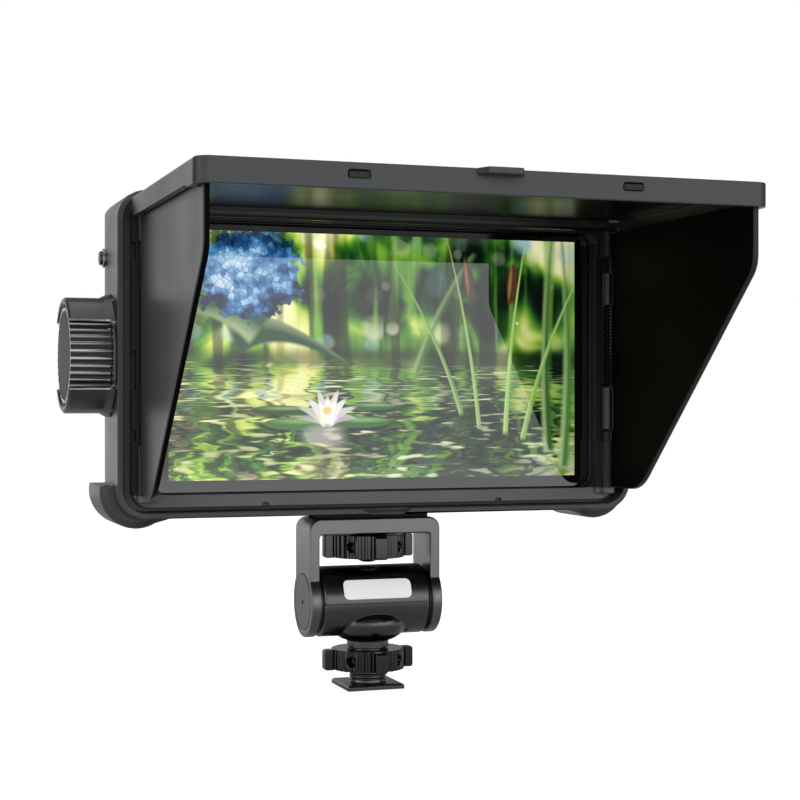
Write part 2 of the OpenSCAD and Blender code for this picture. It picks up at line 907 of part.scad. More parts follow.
module battery_release() {
    color("#8a3030")
        difference() {
            block([-release_w / 2, plate_y + 0.8, release_z - release_h / 2],
                  [release_w / 2, plate_y + plate_t + 1, release_z + release_h / 2]);
            for (i = [-2:2])
                translate([0, plate_y + plate_t + 1, release_z + i * 1.3])
                    rotate([45, 0, 0])
                        cube([release_w + 1, 0.6, 0.6], center = true);
        }
}

// ---- Sun hood ----

module hood_frame() {
    catch_w = 2;
    catch_h = 1;
    color("#454545")
        difference() {
            union() {
                plate(frame_w, frame_h, rim_r - rim_t - frame_gap_z, frame_y, floor_y, frame_mid);
                hinge_supports(1, right_axis_y);
                hinge_supports(-1, left_axis_y);
            }
            plate(glass_w, glass_h, glass_r, frame_y - 5, floor_y + 1, glass_mid);
            // bores for the two upright rods and the lid's rod
            bar_z(rod_r + seat, post_z1 - 4, collar_z1 - 2, axis_x, right_axis_y);
            bar_z(rod_r + seat, post_z1 - 4, collar_z1 - 2, -axis_x, left_axis_y);
            bar_x(rod_r + seat, -rod_end_x, rod_end_x, lid_axis_y, lid_axis_z);
            // shallow channel behind the right flap's sleeves and spring
            bar_z(knuckle_r + air, lower_sleeve_z0 - air, upper_sleeve_z0 + upper_sleeve_h + air,
                  axis_x, right_axis_y);
            // three windows in each upright, from above its middle down
            both_sides()
                for (w = [[30.7, 4.6], [-4.3, 11.6], [-23.5, 3.6]])
                    block([frame_w / 2 - 1.3, frame_y - 1, glass_mid + w[0] - w[1] / 2],
                          [frame_w / 2 + 1, frame_y + 2.4, glass_mid + w[0] + w[1] / 2]);
            // two small catch notches in the lower band
            both_sides()
                block([plug_x - catch_w / 2, frame_y - 1, frame_z0 - 1],
                      [plug_x + catch_w / 2, frame_y + 1.5, frame_z0 + catch_h]);
        }
}

// What carries the hinges at one side: lower post, knuckle, upper collar and the lid's ear
module hinge_supports(side, y) {
    x = side * axis_x;
    back = frame_y + 1;
    low = frame_z0 + 2;
    // lower post, fused into the bottom corner, and upper collar
    for (z = [[low, post_z1], [collar_z0, collar_z1 + tiny]]) {
        bar_z(post_r, z[0], z[1], x, y);
        block([min(x - side * 3.9, x + side * 1.8), y + 0.3, z[0]],
              [max(x - side * 3.9, x + side * 1.8), back, z[1]]);
    }
    bar_z(knuckle_r, post_z1 - tiny, post_z1 + frame_knuckle_h, x, y);
    // ear for the lid's rod
    bar_x(ear_r, min(side * ear_x0, side * flap_x), max(side * ear_x0, side * flap_x), lid_axis_y, lid_axis_z);
    block([min(side * ear_x0, side * flap_x), lid_axis_y, lid_axis_z - ear_r],
          [max(side * ear_x0, side * flap_x), back, lid_axis_z - ear_r + 2.2]);
}

// Outline of the lid seen from above, or of the room inside it
module lid_outline(inset, r, rear) {
    l = rear - lid_y0 - inset;
    intersection() {
        translate([0, lid_y0 + inset + l])
            rounded(lid_w - 2 * inset, 2 * l, r);
        translate([-lid_w, lid_y0])
            square([2 * lid_w, rear - lid_y0]);
    }
}

// A profile of depth and height drawn across from x0 to x1
module across_x(x0, x1) {
    translate([x0, 0, 0])
        rotate([90, 0, 90])
            linear_extrude(x1 - x0)
                children();
}

lip_z = lid_top - lip_h;
lip_mid = lid_top - 3;
barrel_x = ear_x0 - air;
lid_inner_r = 0.3;

module hood_lid() {
    edge_r = 0.8;
    step_y = lid_y0 + 14;
    skirt_z = lid_top - skirt_h;
    rear_cut = 4.6;
    color("#585858")
        difference() {
            union() {
                difference() {
                    intersection() {
                        translate([0, 0, lip_z])
                            linear_extrude(lip_h)
                                lid_outline(0, lid_r, lid_rear);
                        // softened top edges
                        plate(lid_w, 40, edge_r, lid_y0 - 1, lid_rear + 1, lid_top - 20);
                    }
                    translate([0, 0, lip_z - 1])
                        linear_extrude(lid_under - lip_z + 1)
                            lid_outline(lid_t, lid_inner_r, lid_rear + 1);
                    // the skirts are a little lower than the lip
                    across_x(-lid_w, lid_w)
                        polygon([[step_y, skirt_z], [step_y - 4.4, lip_z], [step_y - 4.4, lip_z - 2],
                                 [lid_rear + 2, lip_z - 2], [lid_rear + 2, skirt_z]]);
                    // slanted rear ends of the skirts
                    both_sides()
                        across_x(barrel_x, lid_w)
                            polygon([[lid_rear, lid_top], [lid_rear - rear_cut, skirt_z - 0.1],
                                     [lid_rear + 2, skirt_z - 0.1], [lid_rear + 2, lid_top]]);
                }
                bar_x(ear_r, -barrel_x, barrel_x, lid_axis_y, lid_axis_z);
                block([-barrel_x, lid_axis_y - ear_r, lid_axis_z], [barrel_x, lid_rear, lid_under + tiny]);
            }
            bar_x(rod_r + run, -lid_w, lid_w, lid_axis_y, lid_axis_z);
            // notches for the frame's ears
            both_sides()
                block([barrel_x, lid_axis_y - ear_r - 0.6, lip_z - 1], [lid_inner_x, lid_rear + 1, lid_top + 1]);
            // two small windows in the lip
            for (s = [-1, 1])
                plate_at(s * plug_x, plug_w + 2 * plug_gap, plug_h + 2 * plug_gap, 0.6, lid_y0 - 1,
                         lid_y0 + lid_t + 1, lip_mid);
        }
}

// A rounded plate that faces -Y, with its middle at x and z
module plate_at(x, w, h, r, y0, y1, z) {
    translate([x, 0, 0])
        plate(w, h, r, y0, y1, z);
}

module lid_plugs() {
    color("#3a3a3a")
        for (s = [-1, 1])
            plate_at(s * plug_x, plug_w, plug_h, 0.4, lid_y0 + 0.25, lid_y0 + lid_t, lip_mid);
}

// A finger tab that stands out from the lip, narrower at its front
module lid_tab() {
    tab_out = 4;
    tab_t = 1.7;
    tab_taper = 1.9;
    color("#4e4e4e")
        translate([0, 0, lid_top - tab_t])
            linear_extrude(tab_t)
                polygon([[-tab_w / 2, lid_y0], [-tab_w / 2 + tab_taper, lid_y0 - tab_out],
                         [tab_w / 2 - tab_taper, lid_y0 - tab_out], [tab_w / 2, lid_y0]]);
}

module lid_rod() {
    color("silver")
        bar_x(rod_r, -rod_end_x + 0.1, rod_end_x - 0.1, lid_axis_y, lid_axis_z);
}

module upright_rod(x, y) {
    color("silver")
        bar_z(rod_r, post_z1 - 3.9, collar_z1 - 2.1, x, y);
}

module left_rod() {
    upright_rod(-axis_x, left_axis_y);
}

module right_rod() {
    upright_rod(axis_x, right_axis_y);
}

// Points that round the corner b between the corners a and c with radius r
function corner(a, b, c, r) =
    let (u = unit(a - b), v = unit(c - b), half = acos(u * v) / 2, m = b + unit(u + v) * r / sin(half),
         p = b + u * r / tan(half) - m, turn = (u[0] * v[1] - u[1] * v[0] > 0 ? -1 : 1) * (180 - 2 * half))
    [for (i = [0:6]) let (t = turn * i / 6) m + [p[0] * cos(t) - p[1] * sin(t), p[0] * sin(t) + p[1] * cos(t)]];

// Outline of a flap's front, its depth ahead of the axis against its height
module flap_outline(foot, reach) {
    bend_r = 8;
    foot_r = 15;
    low = [foot, flap_z0];
    bend = [reach, flap_z0 + flap_bend];
    polygon(concat([[swing_r, flap_z1], [swing_r, flap_z0]], corner([swing_r, flap_z0], low, bend, foot_r),
                   corner(low, bend, [reach, flap_z1], bend_r), [[reach, flap_z1]]));
}

// A side flap at rest: its panel and the two sleeves that turn on the rod
module flap_form(side, y) {
    reach = y - flap_front;
    x = side * axis_x;
    panel_x = side > 0 ? flap_x - flap_t : -flap_x;
    sleeve_x0 = min(x, side * (flap_x - 0.1));
    sleeve_x1 = max(x, side * (flap_x - 0.1));
    difference() {
        union() {
            translate([panel_x, y, 0])
                rotate([90, 0, 90])
                    linear_extrude(flap_t)
                        mirror([1, 0])
                            flap_outline(y - flap_foot_y, reach);
            for (z = [[lower_sleeve_z0, lower_sleeve_h], [upper_sleeve_z0, upper_sleeve_h]]) {
                bar_z(knuckle_r, z[0], z[0] + z[1], x, y);
                block([sleeve_x0, y - swing_r - 1, z[0]], [sleeve_x1, y, z[0] + z[1]]);
            }
        }
        bar_z(rod_r + run, flap_z0 - 1, flap_z1 + 1, x, y);
    }
}

module left_flap() {
    color("#484848")
        flap_form(-1, left_axis_y);
}

module right_flap() {
    color("#303030")
        flap_form(1, right_axis_y);
}

// Points of a torsion spring: a straight leg at each end of the curls, both pointing outwards
curl_steps = 8;
function spring_points() = concat(
    [[spring_leg, spring_r, 0], [wire_d, spring_r, 0]],
    [for (i = [0:spring_turns * curl_steps])
        let (a = 90 + i * 360 / curl_steps)
        [spring_r * cos(a), spring_r * sin(a), i * spring_pitch / curl_steps]],
    [[wire_d, -spring_r, spring_z1 - spring_z0], [spring_leg, -spring_r, spring_z1 - spring_z0]]);

function unit(v) = v / norm(v);
function direction(p, i) = unit(p[min(i + 1, len(p) - 1)] - p[max(i - 1, 0)]);
function across(d) = unit(cross(d, [0, 0, 1]));

// Rings of six points round the wire
wire_sides = 6;
function wire_rings(p) = [for (i = [0:len(p) - 1])
    let (d = direction(p, i), u = across(d), v = cross(u, d))
    for (k = [0:wire_sides - 1])
        p[i] + wire_d / 2 * (cos(k * 360 / wire_sides) * u + sin(k * 360 / wire_sides) * v)];

module torsion_spring() {
    p = spring_points();
    rings = len(p);
    n = wire_sides;
    walls = [for (i = [0:rings - 2], k = [0:n - 1])
        let (a = i * n + k, b = i * n + (k + 1) % n)
        each [[a, b, b + n], [a, b + n, a + n]]];
    first = [for (k = [1:n - 2]) [0, k + 1, k]];
    last = [for (k = [1:n - 2]) [(rings - 1) * n, (rings - 1) * n + k, (rings - 1) * n + k + 1]];
    polyhedron(points = wire_rings(p), faces = concat(walls, first, last));
}

// Least gap between neighbouring curls, measured on the wire's middle line
measured = spring_points();
self_gap = min([for (i = [0:curl_steps * 3])
    for (j = [i + curl_steps / 2:len(measured) - 1])
        norm(measured[i] - measured[j])]) - wire_d;
echo(least_spring_gap = self_gap);

module left_spring() {
    color("silver")
        translate([-axis_x, left_axis_y, spring_z0])
            mirror([1, 0, 0])
                torsion_spring();
}

module right_spring() {
    color("silver")
        translate([axis_x, right_axis_y, spring_z0])
            torsion_spring();
}

shoe_foot();
shoe_lock_wheel();
tilt_head_body();
tilt_head_cap();
head_plate();
tilt_axle();
friction_washers();
yoke();
ear_caps();
yoke_pad();
mount_screw();
thumb_wheel();
tripod_insert();
front_rim();
back_cover();
cover_glass();
lcd_panel();
backlight_unit();
mid_chassis();
main_board();
heat_sink();
port_shells();
dial_guard();
dial_encoder();
dial_wheel();
dial_shaft();
dial_cap();
button_ring();
power_button();
battery_plate();
battery_contacts();
battery_release();
hood_frame();
hood_lid();
lid_tab();
lid_plugs();
lid_rod();
left_rod();
right_rod();
left_spring();
right_spring();
left_flap();
right_flap();
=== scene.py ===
import json
import math

import bmesh
import bpy
from mathutils import Matrix, Vector


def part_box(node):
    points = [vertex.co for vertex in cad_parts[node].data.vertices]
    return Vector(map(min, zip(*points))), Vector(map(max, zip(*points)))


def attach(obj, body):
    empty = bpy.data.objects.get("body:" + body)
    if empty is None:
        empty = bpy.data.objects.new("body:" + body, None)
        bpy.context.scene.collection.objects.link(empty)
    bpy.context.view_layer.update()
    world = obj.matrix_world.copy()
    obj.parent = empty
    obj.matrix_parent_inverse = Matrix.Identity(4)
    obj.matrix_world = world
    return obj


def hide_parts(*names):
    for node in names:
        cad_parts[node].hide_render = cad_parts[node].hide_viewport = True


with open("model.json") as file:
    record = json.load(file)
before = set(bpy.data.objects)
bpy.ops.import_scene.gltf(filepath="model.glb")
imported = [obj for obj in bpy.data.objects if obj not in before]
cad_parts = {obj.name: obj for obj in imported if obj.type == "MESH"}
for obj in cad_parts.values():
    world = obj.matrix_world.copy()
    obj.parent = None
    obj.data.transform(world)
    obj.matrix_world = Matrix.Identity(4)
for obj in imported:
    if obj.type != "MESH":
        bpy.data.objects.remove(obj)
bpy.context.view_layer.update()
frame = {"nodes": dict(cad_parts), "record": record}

bl_info = {
    "name": "Field Monitor with Sun Hood",
    "version": (1, 0, 0),
    "blender": (4, 5, 0),
    "location": "3D View > Sidebar > Field Monitor",
    "description": "Dresses the packed field monitor with bevelled solids, finishes, a picture and a studio",
    "category": "Add Mesh",
}

MM = 0.001


def box_mm(node):
    """The lowest and highest corner of a CAD node, in millimetres."""
    return [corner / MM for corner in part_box(node)]


# The lit picture on the panel, with its lower edge at PICTURE_Z, in millimetres
PICTURE_W, PICTURE_H = 132.0, 75.0
PICTURE_Z = 66.2

# The dial's axis, the radii between which its ribs' grooves lie and are painted shade, half the height of its
# guard's finger window, and half the width of the painted highlight along the window's long edges
dial_low, dial_high = box_mm("dial_wheel")
DIAL_Y, DIAL_Z = (dial_low.y + dial_high.y) / 2, (dial_low.z + dial_high.z) / 2
GROOVE_FROM, GROOVE_TO = 13.0, 14.1
HALF_WINDOW = 9.7
HALF_HIGHLIGHT_BAND = 0.65

# The outer arc of the case's corner feet, the height up to which its front edge is rounded wide, and the
# plane of that edge
CORNER_FOOT_R = 11.0
CORNER_FOOT_X, CORNER_FOOT_Z = 74.63, 63.01
CORNER_FOOT_TOP = 66.0
CORNER_FOOT_FRONT = -10.3

# Where the finish changes inside the hood: at the top of the frame's lower bar, which is painted light while
# the rest of the frame is painted shade, above the lid's lower edge, where the lid's underside is painted
# shade, outside the flaps' hinge sleeves and in front of them
BAR_TOP = 62.4
ABOVE_LID_EDGE = 143.0
BESIDE_SLEEVES = 74.5
BEFORE_SLEEVES = -27.0

# The screws' heads stand just proud of the back and of the battery plate's floor
BACK_SCREWS_Y, PLATE_SCREWS_Y = 14.22, 16.72

# The camera: place in metres, turn about the upright, and rise of the image, with a full-frame sensor
CAMERA_PLACE = (-0.1627, -0.5040, 0.08936)
CAMERA_TURN = math.radians(-19.0)
CAMERA_RISE = 0.00395
SENSOR_MM = 36.0


def linear_colour(text):
    """An sRGB hex colour as the linear values that Blender's sockets take."""
    parts = [int(text[i:i + 2], 16) / 255 for i in (0, 2, 4)]
    return tuple(c / 12.92 if c <= 0.04045 else ((c + 0.055) / 1.055) ** 2.4 for c in parts) + (1.0,)


def add_node(tree, kind, inputs=(), stops=None, **settings):
    """Adds a node with its settings. Inputs, by name or in order, are values, nodes or their outputs."""
    node = tree.nodes.new("ShaderNode" + kind)
    for key, value in settings.items():
        setattr(node, key, value)
    in_use = [socket for socket in node.inputs if socket.enabled]
    for key, value in (inputs if isinstance(inputs, dict) else dict(enumerate(inputs))).items():
        socket = in_use[key] if isinstance(key, int) else next(s for s in in_use if s.name == key)
        if isinstance(value, bpy.types.Node):
            value = next(output for output in value.outputs if output.enabled)
        if isinstance(value, bpy.types.NodeSocket):
            tree.links.new(value, socket)
        else:
            socket.default_value = value
    if stops:
        elements = node.color_ramp.elements
        while len(elements) < len(stops):
            elements.new(0.5)
        for element, (place, colour) in zip(elements, stops):
            element.position = place
            element.color = linear_colour(colour)
    return node


def new_material(name):
    """An empty material, ready for a surface."""
    material = bpy.data.materials.new(name)
    material.use_nodes = True
    material.node_tree.nodes.clear()
    return material, material.node_tree


def grained(name, colour, rough, grain_mm, depth_mm, drift=0.1, rough_drift=0.05, **shader_inputs):
    """A moulded, cast or blasted surface: fine grain in its height, slow drift in its colour and gloss."""
    material, tree = new_material(name)
    place = add_node(tree, "TexCoord").outputs["Object"]
    grain = add_node(tree, "TexNoise", {"Vector": place, "Scale": 1 / (grain_mm * MM), "Detail": 3.0})
    slow = add_node(tree, "TexNoise", {"Vector": place, "Scale": 1 / (26 * MM), "Detail": 4.0})
    tone = add_node(tree, "MapRange", [slow, 0.3, 0.7, 1 - drift, 1 + drift])
    shade = add_node(tree, "VectorMath", [tuple(colour)[:3], tone], operation="SCALE")
    gloss = add_node(tree, "MapRange", [slow, 0.3, 0.7, rough - rough_drift, rough + rough_drift])
    bump = add_node(tree, "Bump", {"Strength": 0.6, "Distance": depth_mm * MM, "Height": grain})
    inputs = {"Base Color": shade, "Roughness": gloss, "Normal": bump}
    inputs.update({key.replace("_", " "): value for key, value in shader_inputs.items()})
    add_node(tree, "OutputMaterial", {"Surface": add_node(tree, "BsdfPrincipled", inputs)})
    return material


def turned(name, colour, rough, pitch_mm, axis):
    """Lathe-turned or drawn metal: fine lines across the axis, which smear the highlight."""
    material, tree = new_material(name)
    place = add_node(tree, "TexCoord").outputs["Object"]
    stretch = [40.0, 40.0, 40.0]
    stretch["XYZ".index(axis)] = 1 / (pitch_mm * MM)
    local = add_node(tree, "VectorMath", [place, stretch], operation="MULTIPLY")
    lines = add_node(tree, "TexNoise", {"Vector": local, "Scale": 1.0, "Detail": 2.0})
    gloss = add_node(tree, "MapRange", [lines, 0.3, 0.7, rough * 0.75, rough * 1.3])
    bump = add_node(tree, "Bump", {"Strength": 0.4, "Distance": 0.02 * MM, "Height": lines})
    surface = add_node(tree, "BsdfPrincipled", {
        "Base Color": tuple(colour), "Metallic": 1.0, "Roughness": gloss, "Normal": bump})
    add_node(tree, "OutputMaterial", {"Surface": surface})
    return material


# ---- The picture on the screen: a still pond with reeds, a white water lily and a blue hydrangea ----

def patches(tree, place, scale, offset, span, detail=2.0, **noise):
    """Soft patches, longer along one way where the scale is smaller: span is the noise's low and high end,
    then the values that they become."""
    local = add_node(tree, "VectorMath", [place, scale, offset], operation="MULTIPLY_ADD")
    inputs = {"Vector": local, "Scale": 1.0, "Detail": detail}
    inputs.update(noise)
    cloud = add_node(tree, "TexNoise", inputs, noise_dimensions="2D")
    return add_node(tree, "MapRange", [cloud, *span], interpolation_type="SMOOTHSTEP")


def garden(tree, place):
    """The bank out of focus: sunlit patches, dark leaves, upright stems and soft discs of light."""
    sun = patches(tree, place, (0.022, 0.03, 0), (3.1, 7.7, 0), (0.36, 0.66, 0.0, 1.0), 1.0)
    leaves = patches(tree, place, (0.085, 0.06, 0), (1.7, 0.4, 0), (0.25, 0.75, 0.0, 1.0),
                     Distortion=0.6, Roughness=0.4)
    leaf_light = add_node(tree, "Math", [leaves, 0.45, 0.05], operation="MULTIPLY_ADD")
    light = add_node(tree, "Math", [sun, 0.55, leaf_light], operation="MULTIPLY_ADD")
    # from the shade between leaves to sun on them
    shown = add_node(tree, "ValToRGB", [light], [
        (0.1, "030c08"), (0.24, "0f3014"), (0.38, "2c6a22"),
        (0.52, "6fa834"), (0.66, "c6d75a"), (0.84, "fbf9c4")])
    shown.color_ramp.interpolation = "B_SPLINE"
    stems = patches(tree, place, (0.2, 0.01, 0), (9, 2, 0), (0.52, 0.7, 0.0, 0.65), 1.0)
    shown = add_node(tree, "Mix", [stems, shown, linear_colour("7db046")], data_type="RGBA")
    gaps = patches(tree, place, (0.17, 0.011, 0), (4, 8, 0), (0.47, 0.33, 0.0, 0.8), 1.0)
    shown = add_node(tree, "Mix", [gaps, shown, linear_colour("020806")], data_type="RGBA")
    for scale, size, colour, offset in (
            (0.045, 0.3, "eef08a", 0.3), (0.085, 0.34, "fffbe6", 4.1), (0.065, 0.3, "9cc4d0", 8.6)):
        local = add_node(tree, "VectorMath", [place, (scale, scale, 0), (offset, offset * 0.7, 0)],
                         operation="MULTIPLY_ADD")
        cells = add_node(tree, "TexVoronoi", {"Vector": local, "Scale": 1.0}, voronoi_dimensions="2D")
        chance = add_node(tree, "SeparateColor", [cells.outputs["Color"]])
        radius = add_node(tree, "Math", [chance, size, 0.05], operation="MULTIPLY_ADD")
        share = add_node(tree, "Math", [cells.outputs["Distance"], radius], operation="DIVIDE")
        disc = add_node(tree, "MapRange", [share, 1.15, 0.55, 0.0, 1.0], interpolation_type="SMOOTHSTEP")
        seen = add_node(tree, "MapRange", [chance.outputs[1], 0.5, 0.8, 0.0, 0.95])
        lit = add_node(tree, "MapRange", [sun, 0.15, 0.8, 0.1, 1.0])
        mask = add_node(tree, "Math", [disc, seen], operation="MULTIPLY")
        mask = add_node(tree, "Math", [mask, lit], operation="MULTIPLY")
        shown = add_node(tree, "Mix", [mask, shown, linear_colour(colour)], data_type="RGBA")
    return shown


def paint_oval(tree, picture, place, colour, x, z, half_w, half_h, blur=0.1, share=1.0, turn=0.0):
    """Paints an ellipse; blur is a share of its size, and share how much it covers."""
    local = add_node(tree, "Mapping", {"Vector": place, "Location": (x, z, 0), "Rotation": (0, 0, turn),
                                       "Scale": (half_w, half_h, 1)}, vector_type="TEXTURE")
    away = add_node(tree, "VectorMath", [local], operation="LENGTH")
    mask = add_node(tree, "MapRange", [away, 1 + blur, 1 - blur, 0.0, share], interpolation_type="SMOOTHSTEP")
    return add_node(tree, "Mix", [mask, picture, linear_colour(colour)], data_type="RGBA")


def paint_leaf(tree, picture, place, colour, x, z, lean, bend, width, length, blur):
    """Paints a leaf or stem that starts at x, z, leans, bends and thins out, with a lit edge on its left."""
    local = add_node(tree, "Mapping", {"Vector": place, "Location": (x, z, 0), "Rotation": (0, 0, -lean)},
                     vector_type="TEXTURE")
    parts = add_node(tree, "SeparateXYZ", [local])
    along = parts.outputs[1]
    square = add_node(tree, "Math", [along, along], operation="MULTIPLY")
    side = add_node(tree, "Math", [square, -bend, parts.outputs[0]], operation="MULTIPLY_ADD")
    half = add_node(tree, "MapRange", [along, 0.0, length, width, 0.1 * width])
    off_middle = add_node(tree, "Math", [side], operation="ABSOLUTE")
    away = add_node(tree, "Math", [off_middle, half], operation="SUBTRACT")
    body = add_node(tree, "MapRange", [away, blur, -blur, 0.0, 1.0], interpolation_type="SMOOTHSTEP")
    foot = add_node(tree, "MapRange", [along, -1.0, 0.5, 0.0, 1.0])
    tip = add_node(tree, "MapRange", [along, length, length - 2, 0.0, 1.0])
    ends = add_node(tree, "Math", [foot, tip], operation="MULTIPLY")
    mask = add_node(tree, "Math", [ends, body], operation="MULTIPLY")
    picture = add_node(tree, "Mix", [mask, picture, linear_colour(colour)], data_type="RGBA")
    edge = add_node(tree, "MapRange", [side, 0.1 * width, -0.7 * width, 0.0, 0.45])
    lit = add_node(tree, "Math", [mask, edge], operation="MULTIPLY")
    return add_node(tree, "Mix", [lit, picture, linear_colour("dcebb0")], data_type="RGBA")


def paint_lily(tree, picture, place, wavy, x, z):
    """Paints a white water lily with its pads on the water; wavy is the place that the ripples shift."""
    for colour, pad_x, pad_z, half_w, half_h in (
            ("1f4a24", -15, 1.5, 9, 1.5), ("2a5f2c", 14, 2.6, 8, 1.2),
            ("35702f", -9, -2.6, 11, 2.0), ("2d6630", 10, -2.2, 10, 1.8)):
        # each pad has its shadow below it and a sheen on its far side
        middle_x, middle_z = x + pad_x, z + pad_z
        picture = paint_oval(tree, picture, place, "06140a", middle_x, middle_z - 0.7,
                             half_w, half_h, 0.2, 0.8)
        picture = paint_oval(tree, picture, place, colour, middle_x, middle_z, half_w, half_h, 0.06)
        picture = paint_oval(tree, picture, place, "a8cc7a", middle_x + 1.5, middle_z + 0.4 * half_h,
                             0.7 * half_w, 0.35 * half_h, 0.8, 0.5)
    picture = paint_oval(tree, picture, wavy, "c9c4bd", x, z - 6.5, 6.0, 3.2, 0.6, 0.6)
    for colour, lean, width, length in (
            ("a79aa6", -1.25, 1.9, 10.0), ("b5a9b2", 1.25, 1.9, 10.0), ("c4bac4", -0.95, 2.1, 10.6),
            ("cdc4cc", 0.95, 2.1, 10.6), ("d3cbd2", -0.25, 2.3, 10.4), ("dcd5da", 0.3, 2.3, 10.4),
            ("e2dce0", -0.62, 2.3, 9.6), ("e9e4e6", 0.62, 2.3, 9.6), ("f1edec", 0.02, 2.2, 8.2),
            ("f6f2ee", -0.36, 1.9, 7.0), ("faf7f0", 0.36, 1.9, 7.0)):
        picture = paint_leaf(tree, picture, place, colour, x, z - 1.8, lean, 0.02 * lean, width, length, 0.22)
    return paint_oval(tree, picture, place, "e8c65a", x, z + 1.4, 1.5, 1.1, 0.4, 0.9)


def paint_hydrangea(tree, picture, place):
    """Paints a round head of small blue petals, with dark leaves behind it."""
    ragged = patches(tree, place, (0.3, 0.3, 0), (5, 5, 0), (0.2, 0.8, 0.0, 0.34))
    local = add_node(tree, "Mapping", {"Vector": place, "Location": (-42, 62, 0), "Scale": (17, 14, 1)},
                     vector_type="TEXTURE")
    away = add_node(tree, "VectorMath", [local], operation="LENGTH")
    edge = add_node(tree, "Math", [away, ragged], operation="ADD")
    picture = paint_leaf(tree, picture, place, "1c4a2c", -47, 44, 1.1, 0.03, 7, 30, 0.9)
    picture = paint_leaf(tree, picture, place, "245a35", -38, 46, -0.9, -0.02, 6, 28, 0.9)
    small = add_node(tree, "VectorMath", [place, (0.5, 0.5, 0)], operation="MULTIPLY")
    petals = add_node(tree, "TexVoronoi", {"Vector": small, "Scale": 1.0}, voronoi_dimensions="2D")
    gaps = add_node(tree, "TexVoronoi", {"Vector": small, "Scale": 1.0},
                    voronoi_dimensions="2D", feature="DISTANCE_TO_EDGE")
    tone = add_node(tree, "SeparateColor", [petals.outputs["Color"]])
    clumps = patches(tree, place, (0.16, 0.16, 0), (2, 3, 0), (0.3, 0.7, -0.25, 0.25))
    round_off = add_node(tree, "MapRange", [away, 0.3, 1.0, 0.15, -0.3], interpolation_type="SMOOTHSTEP")
    shade = add_node(tree, "Math", [clumps, round_off], operation="ADD")
    value = add_node(tree, "Math", [tone, 0.35, shade], operation="MULTIPLY_ADD")
    shown = add_node(tree, "ValToRGB", [add_node(tree, "Math", [value, 0.38], operation="ADD")], [
        (0.05, "0c2340"), (0.3, "1f4f80"), (0.55, "4b86ba"), (0.8, "93bcdc"), (1.0, "d4e6f2")])
    dark = add_node(tree, "MapRange", [gaps, 0.1, 0.0, 0.0, 0.6])
    shown = add_node(tree, "Mix", [dark, shown, linear_colour("0a1d38")], data_type="RGBA")
    head = add_node(tree, "MapRange", [edge, 1.2, 1.12, 0.0, 1.0])
    return add_node(tree, "Mix", [head, picture, shown], data_type="RGBA")


